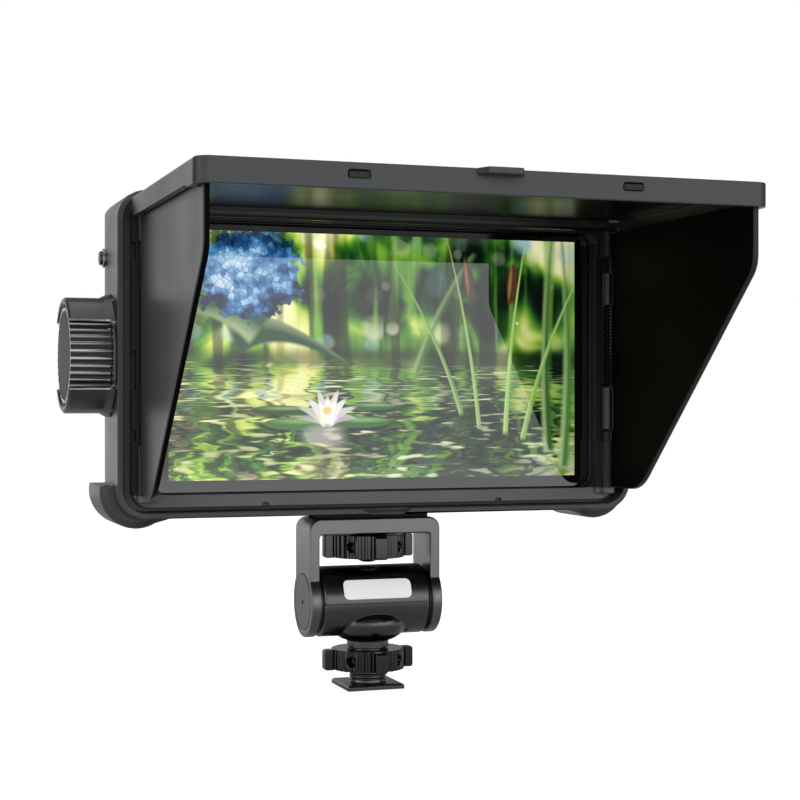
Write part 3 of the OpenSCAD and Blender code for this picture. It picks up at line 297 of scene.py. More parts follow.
def draw_picture(tree):
    """The picture's colour, and a mask that is 1 inside its edges."""
    spot = add_node(tree, "SeparateXYZ", [add_node(tree, "TexCoord").outputs["Object"]])
    x = add_node(tree, "Math", [spot.outputs[0], 1 / MM], operation="MULTIPLY")
    z = add_node(tree, "Math", [spot.outputs[2], 1 / MM, -PICTURE_Z], operation="MULTIPLY_ADD")
    place = add_node(tree, "CombineXYZ", [x, z])
    # the water mirrors the bank; ripples, closer together far away, shift the image
    near = add_node(tree, "MapRange", [z, 34.0, 0.0, 0.15, 1.0])
    below_eye = add_node(tree, "Math", [54.0, z], operation="SUBTRACT")
    rows = add_node(tree, "Math", [340.0, below_eye], operation="DIVIDE")
    narrow = add_node(tree, "Math", [x, 0.035], operation="MULTIPLY")
    ripple_place = add_node(tree, "CombineXYZ", [narrow, rows])
    swell = patches(tree, ripple_place, (1, 1, 0), (0, 0, 0), (0.25, 0.75, -1.0, 1.0), 2.0, Distortion=0.4)
    fine = patches(tree, ripple_place, (3, 3.4, 0), (4, 4, 0), (0.25, 0.75, -1.0, 1.0), 1.0)
    sway = add_node(tree, "Math", [swell, near], operation="MULTIPLY")
    sway = add_node(tree, "Math", [sway, 7.0, x], operation="MULTIPLY_ADD")
    flipped = add_node(tree, "Math", [z, -1.15, 74.0], operation="MULTIPLY_ADD")
    shift = add_node(tree, "Math", [fine, near], operation="MULTIPLY")
    shift = add_node(tree, "Math", [shift, 9.0, flipped], operation="MULTIPLY_ADD")
    water = garden(tree, add_node(tree, "CombineXYZ", [sway, shift]))
    water = add_node(tree, "Mix", [0.12, water, linear_colour("24402c")], data_type="RGBA")
    both = add_node(tree, "Math", [fine, swell], operation="MULTIPLY")
    # more of the ripples catch the light towards the left
    lit = add_node(tree, "MapRange", [x, -66.0, 30.0, 0.1, 0.35])
    glints = add_node(tree, "MapRange", [both, lit, 0.75, 0.0, 0.8])
    water = add_node(tree, "Mix", [glints, water, linear_colour("f4f6d0")], data_type="RGBA")
    troughs = add_node(tree, "MapRange", [swell, -0.2, -0.9, 0.0, 0.5])
    water = add_node(tree, "Mix", [troughs, water, linear_colour("04120c")], data_type="RGBA")
    shore = add_node(tree, "MapRange", [z, 37.5, 34.0, 0.0, 1.0], interpolation_type="SMOOTHSTEP")
    picture = add_node(tree, "Mix", [shore, garden(tree, place), water], data_type="RGBA")
    bank = paint_oval(tree, picture, place, "0a1a0c", 20, 37, 95, 3.2, 0.6, 0.75)
    # sunlight falls in from the left, and the right is in shade
    shade = add_node(tree, "MapRange", [x, 0.0, 75.0, 0.0, 0.4])
    picture = add_node(tree, "Mix", [shade, bank, linear_colour("010402")], data_type="RGBA")
    sun = add_node(tree, "MapRange", [x, 15.0, -70.0, 0.0, 0.7])
    picture = add_node(tree, "Mix", [sun, picture, linear_colour("fbf3a8")],
                       data_type="RGBA", blend_type="SOFT_LIGHT")
    wavy_x = add_node(tree, "Math", [swell, 2.0, x], operation="MULTIPLY_ADD")
    wavy = add_node(tree, "CombineXYZ", [wavy_x, z])
    picture = paint_lily(tree, picture, place, wavy, -17, 19.5)
    picture = paint_hydrangea(tree, picture, place)
    for colour, *leaf in (
            ("4a7a35", 12, 33, 0.32, 0.004, 1.0, 42, 1.4), ("2d5a28", 57, 8, -0.08, 0.0014, 1.7, 74, 1.0),
            ("3f7030", 62, 3, 0.1, -0.0015, 1.8, 80, 1.1), ("88ae58", 33, 16, -0.1, -0.0014, 0.7, 60, 0.3),
            ("6f9848", 27, 20, -0.3, -0.003, 0.75, 52, 0.4), ("96bb62", 42, 14, 0.04, 0.0012, 0.8, 62, 0.3),
            ("7aa44e", 48, 12, 0.22, 0.0026, 0.9, 60, 0.35)):
        picture = paint_leaf(tree, picture, place, colour, *leaf)
    # two bulrush heads on their stems
    for x_mm, z_mm, turn in ((29.4, 62, 0.13), (44.2, 61, -0.09)):
        picture = paint_oval(tree, picture, place, "4a301d", x_mm, z_mm, 1.7, 6.4, 0.14, 1.0, turn)
        picture = paint_oval(tree, picture, place, "95704a", x_mm - 0.6, z_mm + 0.4, 0.5, 4.8, 0.6, 0.8, turn)
    off_x = add_node(tree, "Math", [x], operation="ABSOLUTE")
    sides = add_node(tree, "Math", [off_x, PICTURE_W / 2], operation="LESS_THAN")
    off_z = add_node(tree, "Math", [z, PICTURE_H / 2], operation="SUBTRACT")
    off_z = add_node(tree, "Math", [off_z], operation="ABSOLUTE")
    ends = add_node(tree, "Math", [off_z, PICTURE_H / 2], operation="LESS_THAN")
    return picture, add_node(tree, "Math", [sides, ends], operation="MULTIPLY")


def bonded_screen(name, level):
    """Polished cover glass bonded to the lit panel: black border, picture behind a clear reflection."""
    material, tree = new_material(name)
    picture, inside = draw_picture(tree)
    shown = add_node(tree, "Mix", [inside, (0, 0, 0, 1), picture], data_type="RGBA")
    place = add_node(tree, "TexCoord").outputs["Object"]
    smears = add_node(tree, "TexNoise", {"Vector": place, "Scale": 1 / (35 * MM), "Detail": 3.0})
    gloss = add_node(tree, "MapRange", [smears, 0.3, 0.7, 0.015, 0.03])
    surface = add_node(tree, "BsdfPrincipled", {
        "Base Color": linear_colour("040404"), "Roughness": gloss, "IOR": 1.6,
        "Coat Weight": 1.0, "Coat IOR": 1.6, "Coat Roughness": 0.01,
        "Emission Color": shown, "Emission Strength": level})
    add_node(tree, "OutputMaterial", {"Surface": surface})
    return material


FINISHES = {}


def finish(name):
    """The finish by its name, made on first use."""
    if name not in FINISHES:
        FINISHES[name] = MAKERS[name](name, bpy.context.scene.monitor_colours)
    return FINISHES[name]


# Each finish starts from typical gloss and index for its material and is then matched to the object. The
# numbers of grained are roughness, grain and its depth in mm, and of turned roughness and pitch in mm. The
# grain of moulded and blasted surfaces is drawn about twice as coarse as the real one, to show at this size.
MAKERS = {
    # spark-eroded mould texture on ABS: broad soft highlights on charcoal
    "moulded_ABS_charcoal": lambda n, c: grained(n, c.case, 0.32, 0.35, 0.012, drift=0.05, IOR=1.54),
    # the same grade a little darker, for the dial's guard: its curve shows as a soft gradient
    "moulded_ABS_dark_grey": lambda n, c: grained(n, c.guard, 0.27, 0.35, 0.01, IOR=1.54),
    # black ABS, on the hood's frame and hinges a painted shade: dull, so that they sink behind the flaps
    "moulded_ABS_black_and_painted_shade": lambda n, c: grained(
        n, c.frame, 0.4, 0.35, 0.01, IOR=1.54, Specular_IOR_Level=0.35),
    # painted shade: the lid's underside near black, which still shows a dull image of the screen
    "moulded_ABS_painted_shade_underside": lambda n, c: grained(
        n, linear_colour("080808"), 0.3, 0.35, 0.006, Specular_IOR_Level=0.4),
    # matt black paint inside the hood, which swallows stray light
    "matt_black_paint": lambda n, c: grained(
        n, linear_colour("020202"), 0.55, 0.4, 0.01, Specular_IOR_Level=0.06),
    # painted light: the same ABS lighter, so that the bar below the screen reads as a grey band
    "moulded_ABS_grey_painted_light": lambda n, c: grained(n, c.bar, 0.4, 0.35, 0.01, IOR=1.54),
    # bead-blasted and anodised aluminium: a dark metal sheen that turns with the surface
    "anodised_aluminium_grey": lambda n, c: grained(n, c.yoke, 0.3, 0.25, 0.006, Metallic=1.0),
    # the same in black: long soft streaks along the tilt head's barrel
    "anodised_aluminium_black": lambda n, c: grained(n, c.foot, 0.27, 0.25, 0.004, Metallic=1.0),
    # black anodised over fine turning: every rib carries crisp stripes of light
    "anodised_aluminium_gloss": lambda n, c: grained(
        n, c.wheels, 0.1, 0.5, 0.0005, rough_drift=0.02, Metallic=1.0),
    # satin anodised, painted near white as light: light lines down the crests of the dial's ribs
    "anodised_aluminium_painted_light": lambda n, c: grained(
        n, c.dial, 0.13, 0.2, 0.0, rough_drift=0.02, Metallic=1.0),
    # the same anodising, painted dark as shade between the ribs, and rough
    "anodised_grooves_painted_shade": lambda n, c: grained(n, linear_colour("3a3a3c"), 0.4, 0.2, 0.002, Metallic=0.6),
    # bead-blasted dark anodising: flat even grey
    "blasted_aluminium_dark": lambda n, c: grained(n, c.dial_face, 0.55, 0.2, 0.004),
    # painted highlight: near-white metal on the edges of the finger windows, polished along: a thin white
    # line
    "polished_aluminium_painted_highlight": lambda n, c: turned(n, linear_colour("f0f0f2"), 0.4, 0.2, "X"),
    # plated and brushed round: the button's ring and the sockets glint
    "nickel_plated_brass_satin": lambda n, c: turned(n, linear_colour("d2d3d6"), 0.2, 0.15, "X"),
    # the same plating under smoked lacquer: the button is darker than its ring
    "nickel_plated_brass_dark": lambda n, c: turned(n, linear_colour("6d6e71"), 0.3, 0.15, "X"),
    # drawn and blackened wire: a faint thread of light on each curl of the springs
    "blackened_spring_steel": lambda n, c: turned(n, linear_colour("1c1c1e"), 0.32, 0.12, "Z"),
    # bare turned steel of axle, shaft and screw: bright rings
    "turned_steel": lambda n, c: turned(n, linear_colour("a5a5a8"), 0.3, 0.15, "X"),
    # white enamel, stoved smooth: one clean pale field
    "stoved_enamel_white": lambda n, c: grained(n, c.plate, 0.3, 0.6, 0.003, drift=0.02),
    # moulded rubber of the pad: no highlight at all
    "moulded_rubber_black": lambda n, c: grained(n, linear_colour("131313"), 0.75, 0.4, 0.03),
    # turned brass of the tripod thread: warm rings inside the bore
    "turned_brass": lambda n, c: turned(n, linear_colour("b5903f"), 0.3, 0.3, "Z"),
    # gilded contacts: small gold strips on the black battery plate
    "gilded_bronze": lambda n, c: turned(n, linear_colour("d8b255"), 0.22, 0.3, "Z"),
    # milled aluminium of chassis and heat sink: straight cutter lines
    "milled_aluminium": lambda n, c: turned(n, linear_colour("a9abae"), 0.35, 0.4, "Z"),
    # solder mask on the board: green with a soft gloss
    "solder_mask_green": lambda n, c: grained(n, linear_colour("1d4a2a"), 0.35, 1.2, 0.02),
    # white diffuser film of the backlight: chalky
    "diffuser_film_white": lambda n, c: grained(n, linear_colour("dedede"), 0.6, 0.5, 0.01, drift=0.02),
    # glass of the switched-off panel: near black and smooth
    "panel_glass_dark": lambda n, c: grained(n, linear_colour("0c0d10"), 0.12, 0.6, 0.001, drift=0.05),
    # moulded red release key: dull, to be found by eye
    "moulded_ABS_red": lambda n, c: grained(n, c.release, 0.45, 0.35, 0.012, IOR=1.54),
    # polished cover glass over the lit picture
    "bonded_screen_glass": lambda n, c: bonded_screen(n, c.screen_level),
}


# ---- Shapes ----

def shade_by_angle(obj, degrees=32):
    """Smooth shading that breaks at real corners."""
    mesh = obj.data
    mesh.polygons.foreach_set("use_smooth", [True] * len(mesh.polygons))
    mesh.set_sharp_from_angle(angle=math.radians(degrees))
    mesh.update()


def new_piece(name, mesh, materials, body, replaced=()):
    """An object from a mesh, with its finishes, riding on its body."""
    obj = bpy.data.objects.new(name, mesh)
    bpy.context.scene.collection.objects.link(obj)
    for material in materials:
        obj.data.materials.append(finish(material))
    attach(obj, body)
    if replaced:
        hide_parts(*replaced)
    return obj


BODY_OF = {node: body for body, nodes in frame["record"]["behaviour"]["bodies"].items() for node in nodes}
# Edges that turn more than CORNER are corners, and get rounded. Faces that turn less than FLAT are one
# face, points closer than WELD_MM one point, and a face with more than MANY_CORNERS has openings in it.
CORNER = math.radians(38)
FLAT = math.radians(0.6)
WELD_MM = 0.002
MANY_CORNERS = 24


def softened(node, materials, width_mm, steps=2, edge_finish=False, split_z=None, wide_mm=0, wide=None):
    """A copy of a CAD node with its corners rounded, which takes the node's place. split_z cuts its faces
    where the finish changes, and edges whose centre in millimetres passes the test wide get wide_mm."""
    mesh = frame["nodes"][node].data.copy()
    mesh.materials.clear()
    bm = bmesh.new()
    bm.from_mesh(mesh)
    bmesh.ops.remove_doubles(bm, verts=bm.verts, dist=WELD_MM * MM)
    bmesh.ops.dissolve_limit(bm, angle_limit=FLAT, verts=bm.verts, edges=bm.edges)
    # large faces with openings keep their shape as triangles
    bmesh.ops.triangulate(bm, faces=[face for face in bm.faces if len(face.verts) > MANY_CORNERS])
    if split_z is not None:
        everything = bm.verts[:] + bm.edges[:] + bm.faces[:]
        bmesh.ops.bisect_plane(bm, geom=everything, plane_co=(0, 0, split_z * MM), plane_no=(0, 0, 1))
    bmesh.ops.recalc_face_normals(bm, faces=bm.faces)
    share = bm.edges.layers.float.new("bevel_weight_edge")
    most = max(width_mm, wide_mm)
    for edge in bm.edges:
        if len(edge.link_faces) == 2 and edge.calc_face_angle() > CORNER:
            centre = (edge.verts[0].co + edge.verts[1].co) / 2 / MM
            edge[share] = 1.0 if wide and wide(centre) else width_mm / most if most else 0.0
    bm.to_mesh(mesh)
    bm.free()
    obj = new_piece(node + "_body", mesh, materials, BODY_OF[node], (node,))
    for polygon in mesh.polygons:
        polygon.material_index = 0
    if width_mm:
        bevel = obj.modifiers.new("softened corners", "BEVEL")
        bevel.width = most * MM * bpy.context.scene.monitor_sizes.softening
        bevel.segments = steps
        bevel.limit_method = "WEIGHT"
        bevel.face_strength_mode = "FSTR_ALL"
        bevel.use_clamp_overlap = False
        bevel.loop_slide = False
        bevel.miter_outer = "MITER_ARC"
        if edge_finish:
            bevel.material = len(materials) - 1
        flat = obj.modifiers.new("flat faces stay flat", "WEIGHTED_NORMAL")
        flat.use_face_influence = True
        flat.keep_sharp = True
        shade_by_angle(obj)
        apply_modifiers(obj)
    else:
        shade_by_angle(obj)
    return obj


def apply_modifiers(obj):
    """Bakes the modifiers into the mesh, so that the mesh is the shown one."""
    graph = bpy.context.evaluated_depsgraph_get()
    graph.update()
    shaped = bpy.data.meshes.new_from_object(obj.evaluated_get(graph))
    obj.modifiers.clear()
    old = obj.data
    obj.data = shaped
    bpy.data.meshes.remove(old)


def dress(node, material):
    """Gives a CAD node that stays as it is its finish."""
    obj = frame["nodes"][node]
    obj.data.materials.clear()
    obj.data.materials.append(finish(material))


def lathe(name, profile, centre, axis, materials, body, steps=48):
    """A turned piece: profile is radius and height pairs in millimetres, along axis from centre."""
    bm = bmesh.new()
    rings = []
    turn = Vector((0, 0, 1)).rotation_difference(Vector(axis)).to_matrix().to_4x4()
    for radius, height in profile:
        if radius < 1e-6:
            rings.append([bm.verts.new((0, 0, height * MM))])
        else:
            rings.append([bm.verts.new((radius * MM * math.cos(2 * math.pi * i / steps),
                                        radius * MM * math.sin(2 * math.pi * i / steps), height * MM))
                          for i in range(steps)])
    for low, high in zip(rings, rings[1:]):
        for i in range(steps):
            j = (i + 1) % steps
            corners = [low[i % len(low)], low[j % len(low)], high[j % len(high)], high[i % len(high)]]
            unique = list(dict.fromkeys(corners))
            if len(unique) > 2:
                bm.faces.new(unique)
    bmesh.ops.recalc_face_normals(bm, faces=bm.faces)
    bm.transform(Matrix.Translation(Vector(centre) * MM) @ turn)
    mesh = bpy.data.meshes.new(name)
    bm.to_mesh(mesh)
    bm.free()
    obj = new_piece(name, mesh, materials, body)
    shade_by_angle(obj)
    return obj


def paint_faces(obj, index, test):
    """Gives the faces that pass the test, of centre in millimetres and normal, another finish."""
    for polygon in obj.data.polygons:
        if test(polygon.center / MM, polygon.normal):
            polygon.material_index = index


# ---- Settings ----

def size_setting(name, description, default_mm, low_mm, high_mm):
    """A length that a user may change, given in millimetres and kept in metres."""
    return bpy.props.FloatProperty(
        name=name, description=description, default=default_mm * MM, min=low_mm * MM, max=high_mm * MM,
        precision=5, unit="LENGTH", subtype="DISTANCE")


def colour_setting(name, description, text):
    """A colour that a user may change."""
    return bpy.props.FloatVectorProperty(
        name=name, description=description, subtype="COLOR", size=4, default=linear_colour(text),
        min=0, max=1)


def light_setting(name, description, default):
    """The power of a studio lamp."""
    return bpy.props.FloatProperty(
        name=name, description=description, default=default, min=0, max=200, unit="POWER")


class MonitorSizes(bpy.types.PropertyGroup):
    """Lengths that shape the dressed pieces"""
    softening: bpy.props.FloatProperty(
        name="Corner softening", description="Scales the rounding of all corners",
        default=1.0, min=0.2, max=1.6)
    case_edge: size_setting("Case edges", "Rounding of the case's rim and the lid", 0.35, 0.1, 0.5)
    panel_edge: size_setting("Panel edges", "Rounding of the cover, flaps and battery plate", 0.3, 0.1, 0.4)
    corner_foot_edge: size_setting("Corner feet", "Rounding of the corner feet's front edge", 2.2, 0.3, 2.6)
    guard_edge: size_setting("Dial guard edges", "Rounding of the guard round the dial", 0.6, 0.1, 0.7)
    yoke_edge: size_setting("Yoke edges", "Rounding of the yoke", 0.5, 0.1, 0.6)
    mount_edge: size_setting("Mount edges", "Rounding of the tilt head", 0.15, 0.05, 0.3)
    screw_head: size_setting("Screw heads", "Diameter of the screw heads on the back", 3.6, 2.0, 4.5)


class MonitorStudio(bpy.types.PropertyGroup):
    """Lamps and lens of the studio"""
    key_light: light_setting("Key lamp", "Power of the large lamp at the front left", 19.0)
    fill_light: light_setting("Fill lamp", "Power of the lamp at the front right", 7.0)
    top_light: light_setting("Top lamp", "Power of the lamp overhead", 14.0)
    lens: bpy.props.FloatProperty(
        name="Lens", description="Focal length of the camera", default=75.3, min=35, max=200, unit="CAMERA")


def size_mm(name):
    """A size setting in millimetres."""
    return getattr(bpy.context.scene.monitor_sizes, name) / MM


class MonitorColours(bpy.types.PropertyGroup):
    """Colours of the pieces and the floor"""
    case: colour_setting("Case", "Moulded case, lid and side flaps", "2f3032")
    guard: colour_setting("Dial guard", "Moulded guard round the dial", "292a2c")
    # the hood frame's near black is painted shade and the lower bar's grey painted light, both on one
    # charcoal ABS
    frame: colour_setting("Hood frame", "Frame and hinges of the hood", "171718")
    bar: colour_setting("Lower bar", "Lower bar of the hood's frame", "4a4b4d")
    yoke: colour_setting("Yoke", "Dark anodising of the yoke", "8b8c8f")
    foot: colour_setting("Foot", "Black anodising of the foot and the tilt head", "727275")
    wheels: colour_setting("Wheels", "Black anodising of the two clamping wheels", "5e5e61")
    # the dial's near-white ribs are painted light
    dial: colour_setting("Dial", "Anodising of the dial's ribs", "c8c8cb")
    dial_face: colour_setting("Dial face", "Anodising of the dial's face", "2b2b2d")
    plate: colour_setting("Plate", "Bare plate in the tilt head", "d8d9da")
    release: colour_setting("Battery release", "Release key of the battery plate", "7c1f1c")
    floor: colour_setting("Floor", "Paint of the studio floor", "8e8e8e")
    screen_level: bpy.props.FloatProperty(
        name="Screen level", description="Brightness of the picture on the screen", default=1.1, min=0, max=3)


# ---- Operators ----

def screw(name, x, y, z, axis, body):
    """A countersunk screw head with a round socket."""
    r = size_mm("screw_head") / 2
    profile = [(0, -0.9), (0.45 * r, -0.9), (0.5 * r, 0.02), (0.86 * r, 0.02),
               (r, -0.12), (r, -1.0), (0, -1.0)]
    return lathe(name, profile, (x, y, z), axis, ["blackened_spring_steel"], body, steps=24)


def on_foot_edge(c):
    """Whether an edge, by its centre in mm, is on a corner foot's front edge and not inside its arc."""
    out = math.hypot(abs(c.x) - CORNER_FOOT_X, c.z - CORNER_FOOT_Z)
    return abs(c.y - CORNER_FOOT_FRONT) < 0.05 and c.z < CORNER_FOOT_TOP and out > CORNER_FOOT_R - 0.1


class MONITOR_OT_case(bpy.types.Operator):
    """Front rim, back cover with its feet, sockets and screws"""
    bl_idname = "monitor.case"
    bl_label = "Case"

    def execute(self, context):
        softened("front_rim", ["moulded_ABS_charcoal"], size_mm("case_edge"), 3)
        # the front edge of the two corner feet is rounded far more than the rest
        softened("back_cover", ["moulded_ABS_charcoal"], size_mm("panel_edge"), 4,
                 wide_mm=size_mm("corner_foot_edge"), wide=on_foot_edge)
        dress("port_shells", "nickel_plated_brass_satin")
        for i, (x, z) in enumerate(((-70, 62.8), (70, 62.8), (-70, 143.8), (70, 143.8))):
            screw(f"back_screw_{i}", x, BACK_SCREWS_Y, z, (0, 1, 0), "monitor")
        return {"FINISHED"}


class MONITOR_OT_screen(bpy.types.Operator):
    """Cover glass with the picture"""
    bl_idname = "monitor.screen"
    bl_label = "Screen"

    def execute(self, context):
        softened("cover_glass", ["bonded_screen_glass"], 0.2, 2)
        return {"FINISHED"}


class MONITOR_OT_dial(bpy.types.Operator):
    """Dial, its guard, and the power button"""
    bl_idname = "monitor.dial"
    bl_label = "Dial and button"

    def execute(self, context):
        guard = softened("dial_guard", ["moulded_ABS_dark_grey", "polished_aluminium_painted_highlight"],
                         size_mm("guard_edge"), 1, edge_finish=True)
        # only the long edges of the finger windows keep the near-white metal, as a painted highlight
        paint_faces(guard, 0, lambda c, n: abs(abs(c.z - DIAL_Z) - HALF_WINDOW) > HALF_HIGHLIGHT_BAND)
        wheel = softened("dial_wheel", ["anodised_aluminium_painted_light", "anodised_grooves_painted_shade"], 0)
        # the ribs' grooves get a dark grey as painted shade, so only the crests stay bright
        paint_faces(wheel, 1, lambda c, n: (
            abs(n.x) < 0.5 and GROOVE_FROM < math.hypot(c.y - DIAL_Y, c.z - DIAL_Z) < GROOVE_TO))
        softened("dial_cap", ["blasted_aluminium_dark"], 0.25, 2)
        softened("button_ring", ["nickel_plated_brass_satin"], 0.15, 2)
        softened("power_button", ["nickel_plated_brass_dark"], 0.3, 3)
        dress("dial_shaft", "turned_steel")
        return {"FINISHED"}


class MONITOR_OT_battery_plate(bpy.types.Operator):
    """Battery plate with its release, contacts and screws"""
    bl_idname = "monitor.battery_plate"
    bl_label = "Battery plate"

    def execute(self, context):
        softened("battery_plate", ["moulded_ABS_black_and_painted_shade"], size_mm("panel_edge"), 2)
        softened("battery_release", ["moulded_ABS_red"], 0.2, 2)
        softened("battery_contacts", ["gilded_bronze"], 0.15, 2)
        for i, (x, z) in enumerate(((-13, 84.8), (13, 84.8), (-13, 113.8), (13, 113.8))):
            screw(f"plate_screw_{i}", x, PLATE_SCREWS_Y, z, (0, 1, 0), "monitor")
        return {"FINISHED"}


class MONITOR_OT_hood(bpy.types.Operator):
    """Hood frame, lid, side flaps and their hinges"""
    bl_idname = "monitor.hood"
    bl_label = "Sun hood"

    def execute(self, context):
        # the frame is one charcoal ABS: its lower bar's faces that don't face down get a lighter grey as
        # painted light, the rest near black as painted shade
        frame_painted_light_and_shade = softened("hood_frame", ["moulded_ABS_black_and_painted_shade", "moulded_ABS_grey_painted_light"], 0.2, 2, split_z=BAR_TOP)
        paint_faces(frame_painted_light_and_shade, 1, lambda c, n: c.z < BAR_TOP and n.z > -0.5)
        lid = softened("hood_lid", ["moulded_ABS_charcoal", "moulded_ABS_painted_shade_underside"], size_mm("case_edge"), 3)
        # the lid's downward faces above its lower edge get near black as painted shade
        paint_faces(lid, 1, lambda c, n: n.z < -0.5 and c.z > ABOVE_LID_EDGE)
        softened("lid_tab", ["moulded_ABS_charcoal"], 0.25, 2)
        softened("lid_plugs", ["moulded_ABS_black_and_painted_shade"], 0.15, 2)
        left = softened("left_flap", ["moulded_ABS_charcoal", "matt_black_paint"], size_mm("panel_edge"), 2)
        paint_faces(left, 1, lambda c, n: (
            (n.x > 0.95 and c.x < -BESIDE_SLEEVES) or (n.x > -0.2 and c.y < BEFORE_SLEEVES)))
        # the right flap's edges face the camera, and stay unpainted
        right = softened("right_flap", ["moulded_ABS_charcoal", "matt_black_paint", "moulded_ABS_black_and_painted_shade"],
                         size_mm("panel_edge"), 2)
        paint_faces(right, 2, lambda c, n: n.x < 0.2 and c.y < BEFORE_SLEEVES)
        paint_faces(right, 1, lambda c, n: n.x < -0.95 and c.x > BESIDE_SLEEVES)
        for node in ("lid_rod", "left_rod", "right_rod", "left_spring", "right_spring"):
            dress(node, "blackened_spring_steel")
        return {"FINISHED"}


class MONITOR_OT_mount(bpy.types.Operator):
    """Cold-shoe foot, tilt head, yoke, pad, screw and the two wheels"""
    bl_idname = "monitor.mount"
    bl_label = "Mount"

    def execute(self, context):
        softened("shoe_foot", ["anodised_aluminium_black"], 0.2, 2)
        softened("shoe_lock_wheel", ["anodised_aluminium_gloss"], 0.12, 1)
        softened("thumb_wheel", ["anodised_aluminium_gloss"], 0.12, 1)
        softened("tilt_head_body", ["anodised_aluminium_black"], size_mm("mount_edge"), 2)
        softened("tilt_head_cap", ["anodised_aluminium_black"], size_mm("mount_edge"), 2)
        softened("head_plate", ["stoved_enamel_white"], 0.1, 2)
        softened("yoke", ["anodised_aluminium_grey"], size_mm("yoke_edge"), 3)
        softened("ear_caps", ["anodised_aluminium_black"], size_mm("mount_edge"), 2)
        softened("yoke_pad", ["moulded_rubber_black"], 0.3, 2)
        softened("mount_screw", ["turned_steel"], 0.2, 2)
        softened("tripod_insert", ["turned_brass"], 0.2, 2)
        dress("tilt_axle", "turned_steel")
        dress("friction_washers", "turned_steel")
        return {"FINISHED"}


class MONITOR_OT_inside(bpy.types.Operator):
    """Finishes of the pieces inside the case"""
    bl_idname = "monitor.inside"
    bl_label = "Inside"

    def execute(self, context):
        for node, material in (("lcd_panel", "panel_glass_dark"), ("backlight_unit", "diffuser_film_white"),
                               ("mid_chassis", "milled_aluminium"), ("main_board", "solder_mask_green"),
                               ("heat_sink", "milled_aluminium"), ("dial_encoder", "moulded_ABS_black_and_painted_shade")):
            dress(node, material)
        return {"FINISHED"}


class MONITOR_OT_stage(bpy.types.Operator):
    """Floor, lamps, white surroundings and the camera"""
    bl_idname = "monitor.stage"
    bl_label = "Stage"

    def execute(self, context):
        scene = context.scene
        studio = scene.monitor_studio
        white_surroundings(scene)
        studio_floor(scene)
        for name, place, target, size, watts in (
                ("key softbox", (-0.5, -1.35, 0.62), (0, 0, 0.09), 0.9, studio.key_light),
                ("fill softbox", (1.0, -1.3, 0.5), (0, 0, 0.09), 1.0, studio.fill_light),
                ("top softbox", (0.0, 0.1, 1.3), (0, 0, 0.1), 1.0, studio.top_light)):
            softbox(scene, name, place, target, size, watts)
        camera_data = bpy.data.cameras.new("photo camera")
        camera_data.lens = studio.lens
        camera_data.sensor_width = SENSOR_MM
        camera_data.shift_y = CAMERA_RISE
        camera_data.clip_start = 0.01
        camera = bpy.data.objects.new("photo camera", camera_data)
        camera.location = CAMERA_PLACE
        camera.rotation_euler = (math.radians(90), 0, CAMERA_TURN)
        scene.collection.objects.link(camera)
        scene.camera = camera
        scene.view_settings.view_transform = "Standard"
        return {"FINISHED"}


def white_surroundings(scene):
    """White behind the object. Mirrors see a white front, side and top, with darker flags between them."""
    world = bpy.data.worlds.new("white studio")
    scene.world = world
    world.use_nodes = True
    tree = world.node_tree
    tree.nodes.clear()
    way = add_node(tree, "SeparateXYZ", [add_node(tree, "TexCoord").outputs["Generated"]])
    ahead = add_node(tree, "Math", [way.outputs[1], -1.0], operation="MULTIPLY")
    angle = add_node(tree, "Math", [way.outputs[0], ahead], operation="ARCTAN2")
    turn = add_node(tree, "MapRange", [angle, -math.pi, math.pi, 0.0, 1.0])
    # round the object from behind, by its left, the front and its right
    walls = add_node(tree, "ValToRGB", [turn], [
        (0.0, "dcdcdc"), (0.05, "dcdcdc"), (0.12, "3c3c3c"), (0.21, "3c3c3c"), (0.23, "ffffff"),
        (0.33, "ffffff"), (0.36, "a8a8a8"), (0.47, "b8b8b8"), (0.50, "ffffff"), (0.66, "ffffff"),
        (0.69, "505050"), (0.92, "505050"), (1.0, "d0d0d0")])
    low = add_node(tree, "MapRange", [way.outputs[2], 0.3, 0.45, 0.0, 1.0], interpolation_type="SMOOTHSTEP")
    high = add_node(tree, "MapRange", [way.outputs[2], 0.68, 0.85, 0.0, 1.0], interpolation_type="SMOOTHSTEP")
    flagged = add_node(tree, "Mix", [low, walls, linear_colour("484848")], data_type="RGBA")
    studio = add_node(tree, "Mix", [high, flagged, linear_colour("f4f4f4")], data_type="RGBA")
    path = add_node(tree, "LightPath")
    # the light that falls on the object comes mostly from above, so the hood stays dark inside
    dome = add_node(tree, "MapRange", [way.outputs[2], -0.1, 0.9, 0.16, 0.75])
    dome = add_node(tree, "CombineXYZ", [dome, dome, dome])
    ambient = add_node(tree, "Mix", [path.outputs["Is Glossy Ray"], dome, studio], data_type="RGBA")
    seen = add_node(tree, "Math", [path.outputs["Is Camera Ray"], path.outputs["Is Transmission Ray"]],
                    operation="MAXIMUM")
    colour = add_node(tree, "Mix", [seen, ambient, (1, 1, 1, 1)], data_type="RGBA")
    sky = add_node(tree, "Background", {"Color": colour, "Strength": 1.0})
    add_node(tree, "OutputWorld", {"Surface": sky})


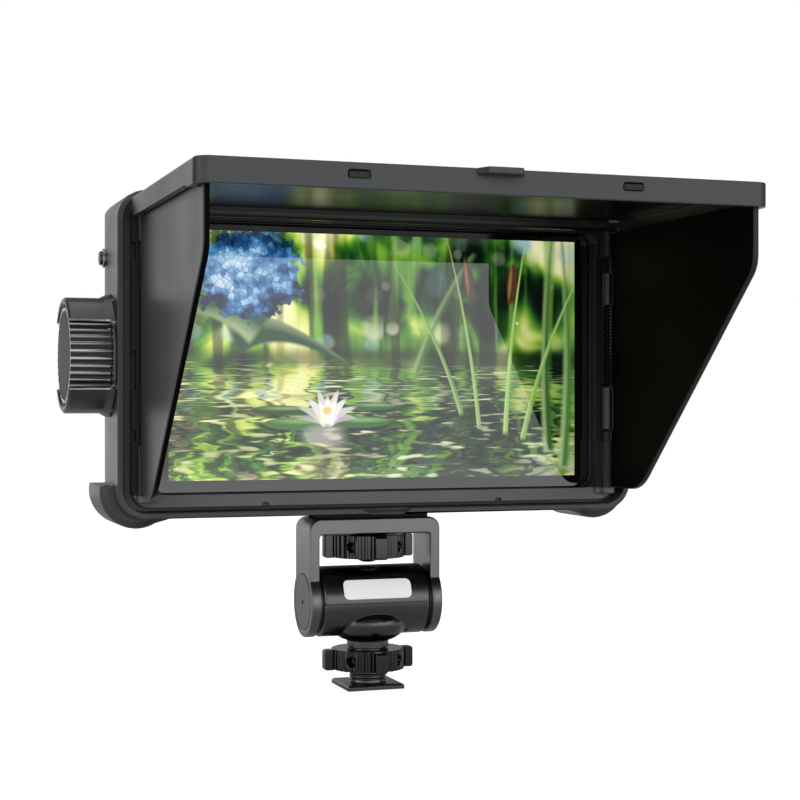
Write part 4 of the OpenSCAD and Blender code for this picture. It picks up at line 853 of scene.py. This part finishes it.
def studio_floor(scene):
    """A wide pale floor that keeps the object's shadow and fades to white far off."""
    bm = bmesh.new()
    bmesh.ops.create_circle(bm, cap_ends=True, radius=60.0, segments=96)
    bm.transform(Matrix.Translation((0, 0, -0.05 * MM)))
    mesh = bpy.data.meshes.new("studio_floor")
    bm.to_mesh(mesh)
    bm.free()
    floor = bpy.data.objects.new("studio_floor", mesh)
    scene.collection.objects.link(floor)
    material, tree = new_material("painted_board_floor")
    place = add_node(tree, "TexCoord").outputs["Object"]
    mottling = add_node(tree, "TexNoise", {"Vector": place, "Scale": 3.0, "Detail": 2.0})
    tone = add_node(tree, "MapRange", [mottling, 0.0, 1.0, 0.97, 1.0])
    shade = add_node(tree, "VectorMath", [tuple(scene.monitor_colours.floor)[:3], tone], operation="SCALE")
    paint = add_node(tree, "BsdfDiffuse", {"Color": shade})
    path = add_node(tree, "LightPath")
    # mirrors see a dark floor close by, so that undersides stay dark, and a white one further off
    reach = add_node(tree, "VectorMath", [place], operation="LENGTH")
    far = add_node(tree, "MapRange", [reach, 0.45, 1.0, 0.04, 0.75])
    mirror = add_node(tree, "Math", [path.outputs["Is Glossy Ray"], far], operation="MULTIPLY")
    seen = add_node(tree, "Math", [path.outputs["Is Camera Ray"], path.outputs["Is Transmission Ray"]],
                    operation="MAXIMUM")
    lift = add_node(tree, "Math", [seen, 0.86, mirror], operation="MULTIPLY_ADD")
    glow = add_node(tree, "Emission", {"Color": (1, 1, 1, 1), "Strength": lift})
    add_node(tree, "OutputMaterial", {"Surface": add_node(tree, "AddShader", [paint, glow])})
    mesh.materials.append(material)


def softbox(scene, name, place, target, size, watts):
    """A square lamp that shows in no mirror: the surroundings already hold the lights that mirrors see."""
    data = bpy.data.lights.new(name, "AREA")
    data.shape = "SQUARE"
    data.size = size
    data.energy = watts
    lamp = bpy.data.objects.new(name, data)
    lamp.location = place
    lamp.rotation_euler = (Vector(target) - Vector(place)).to_track_quat("-Z", "Y").to_euler()
    lamp.visible_glossy = False
    scene.collection.objects.link(lamp)


class MONITOR_PT_panel(bpy.types.Panel):
    """Sizes, colours and the steps that build the monitor"""
    bl_label = "Field Monitor"
    bl_idname = "MONITOR_PT_panel"
    bl_space_type = "VIEW_3D"
    bl_region_type = "UI"
    bl_category = "Field Monitor"

    def draw(self, context):
        layout = self.layout
        scene = context.scene
        for group in (scene.monitor_sizes, scene.monitor_colours, scene.monitor_studio):
            for key in group.__annotations__:
                layout.prop(group, key)
        for operator in OPERATORS:
            layout.operator(operator.bl_idname)


OPERATORS = (MONITOR_OT_case, MONITOR_OT_screen, MONITOR_OT_dial, MONITOR_OT_battery_plate, MONITOR_OT_hood,
             MONITOR_OT_mount, MONITOR_OT_inside, MONITOR_OT_stage)
CLASSES = (MonitorSizes, MonitorColours, MonitorStudio) + OPERATORS + (MONITOR_PT_panel,)


def register():
    for cls in CLASSES:
        bpy.utils.register_class(cls)
    bpy.types.Scene.monitor_sizes = bpy.props.PointerProperty(type=MonitorSizes)
    bpy.types.Scene.monitor_colours = bpy.props.PointerProperty(type=MonitorColours)
    bpy.types.Scene.monitor_studio = bpy.props.PointerProperty(type=MonitorStudio)


def unregister():
    del bpy.types.Scene.monitor_studio
    del bpy.types.Scene.monitor_colours
    del bpy.types.Scene.monitor_sizes
    for cls in reversed(CLASSES):
        bpy.utils.unregister_class(cls)


def main():
    register()
    for operator in OPERATORS:
        space, step = operator.bl_idname.split(".")
        if getattr(getattr(bpy.ops, space), step)() != {"FINISHED"}:
            raise RuntimeError(f"{operator.bl_label} could not be made")


if __name__ == "__main__":
    main()
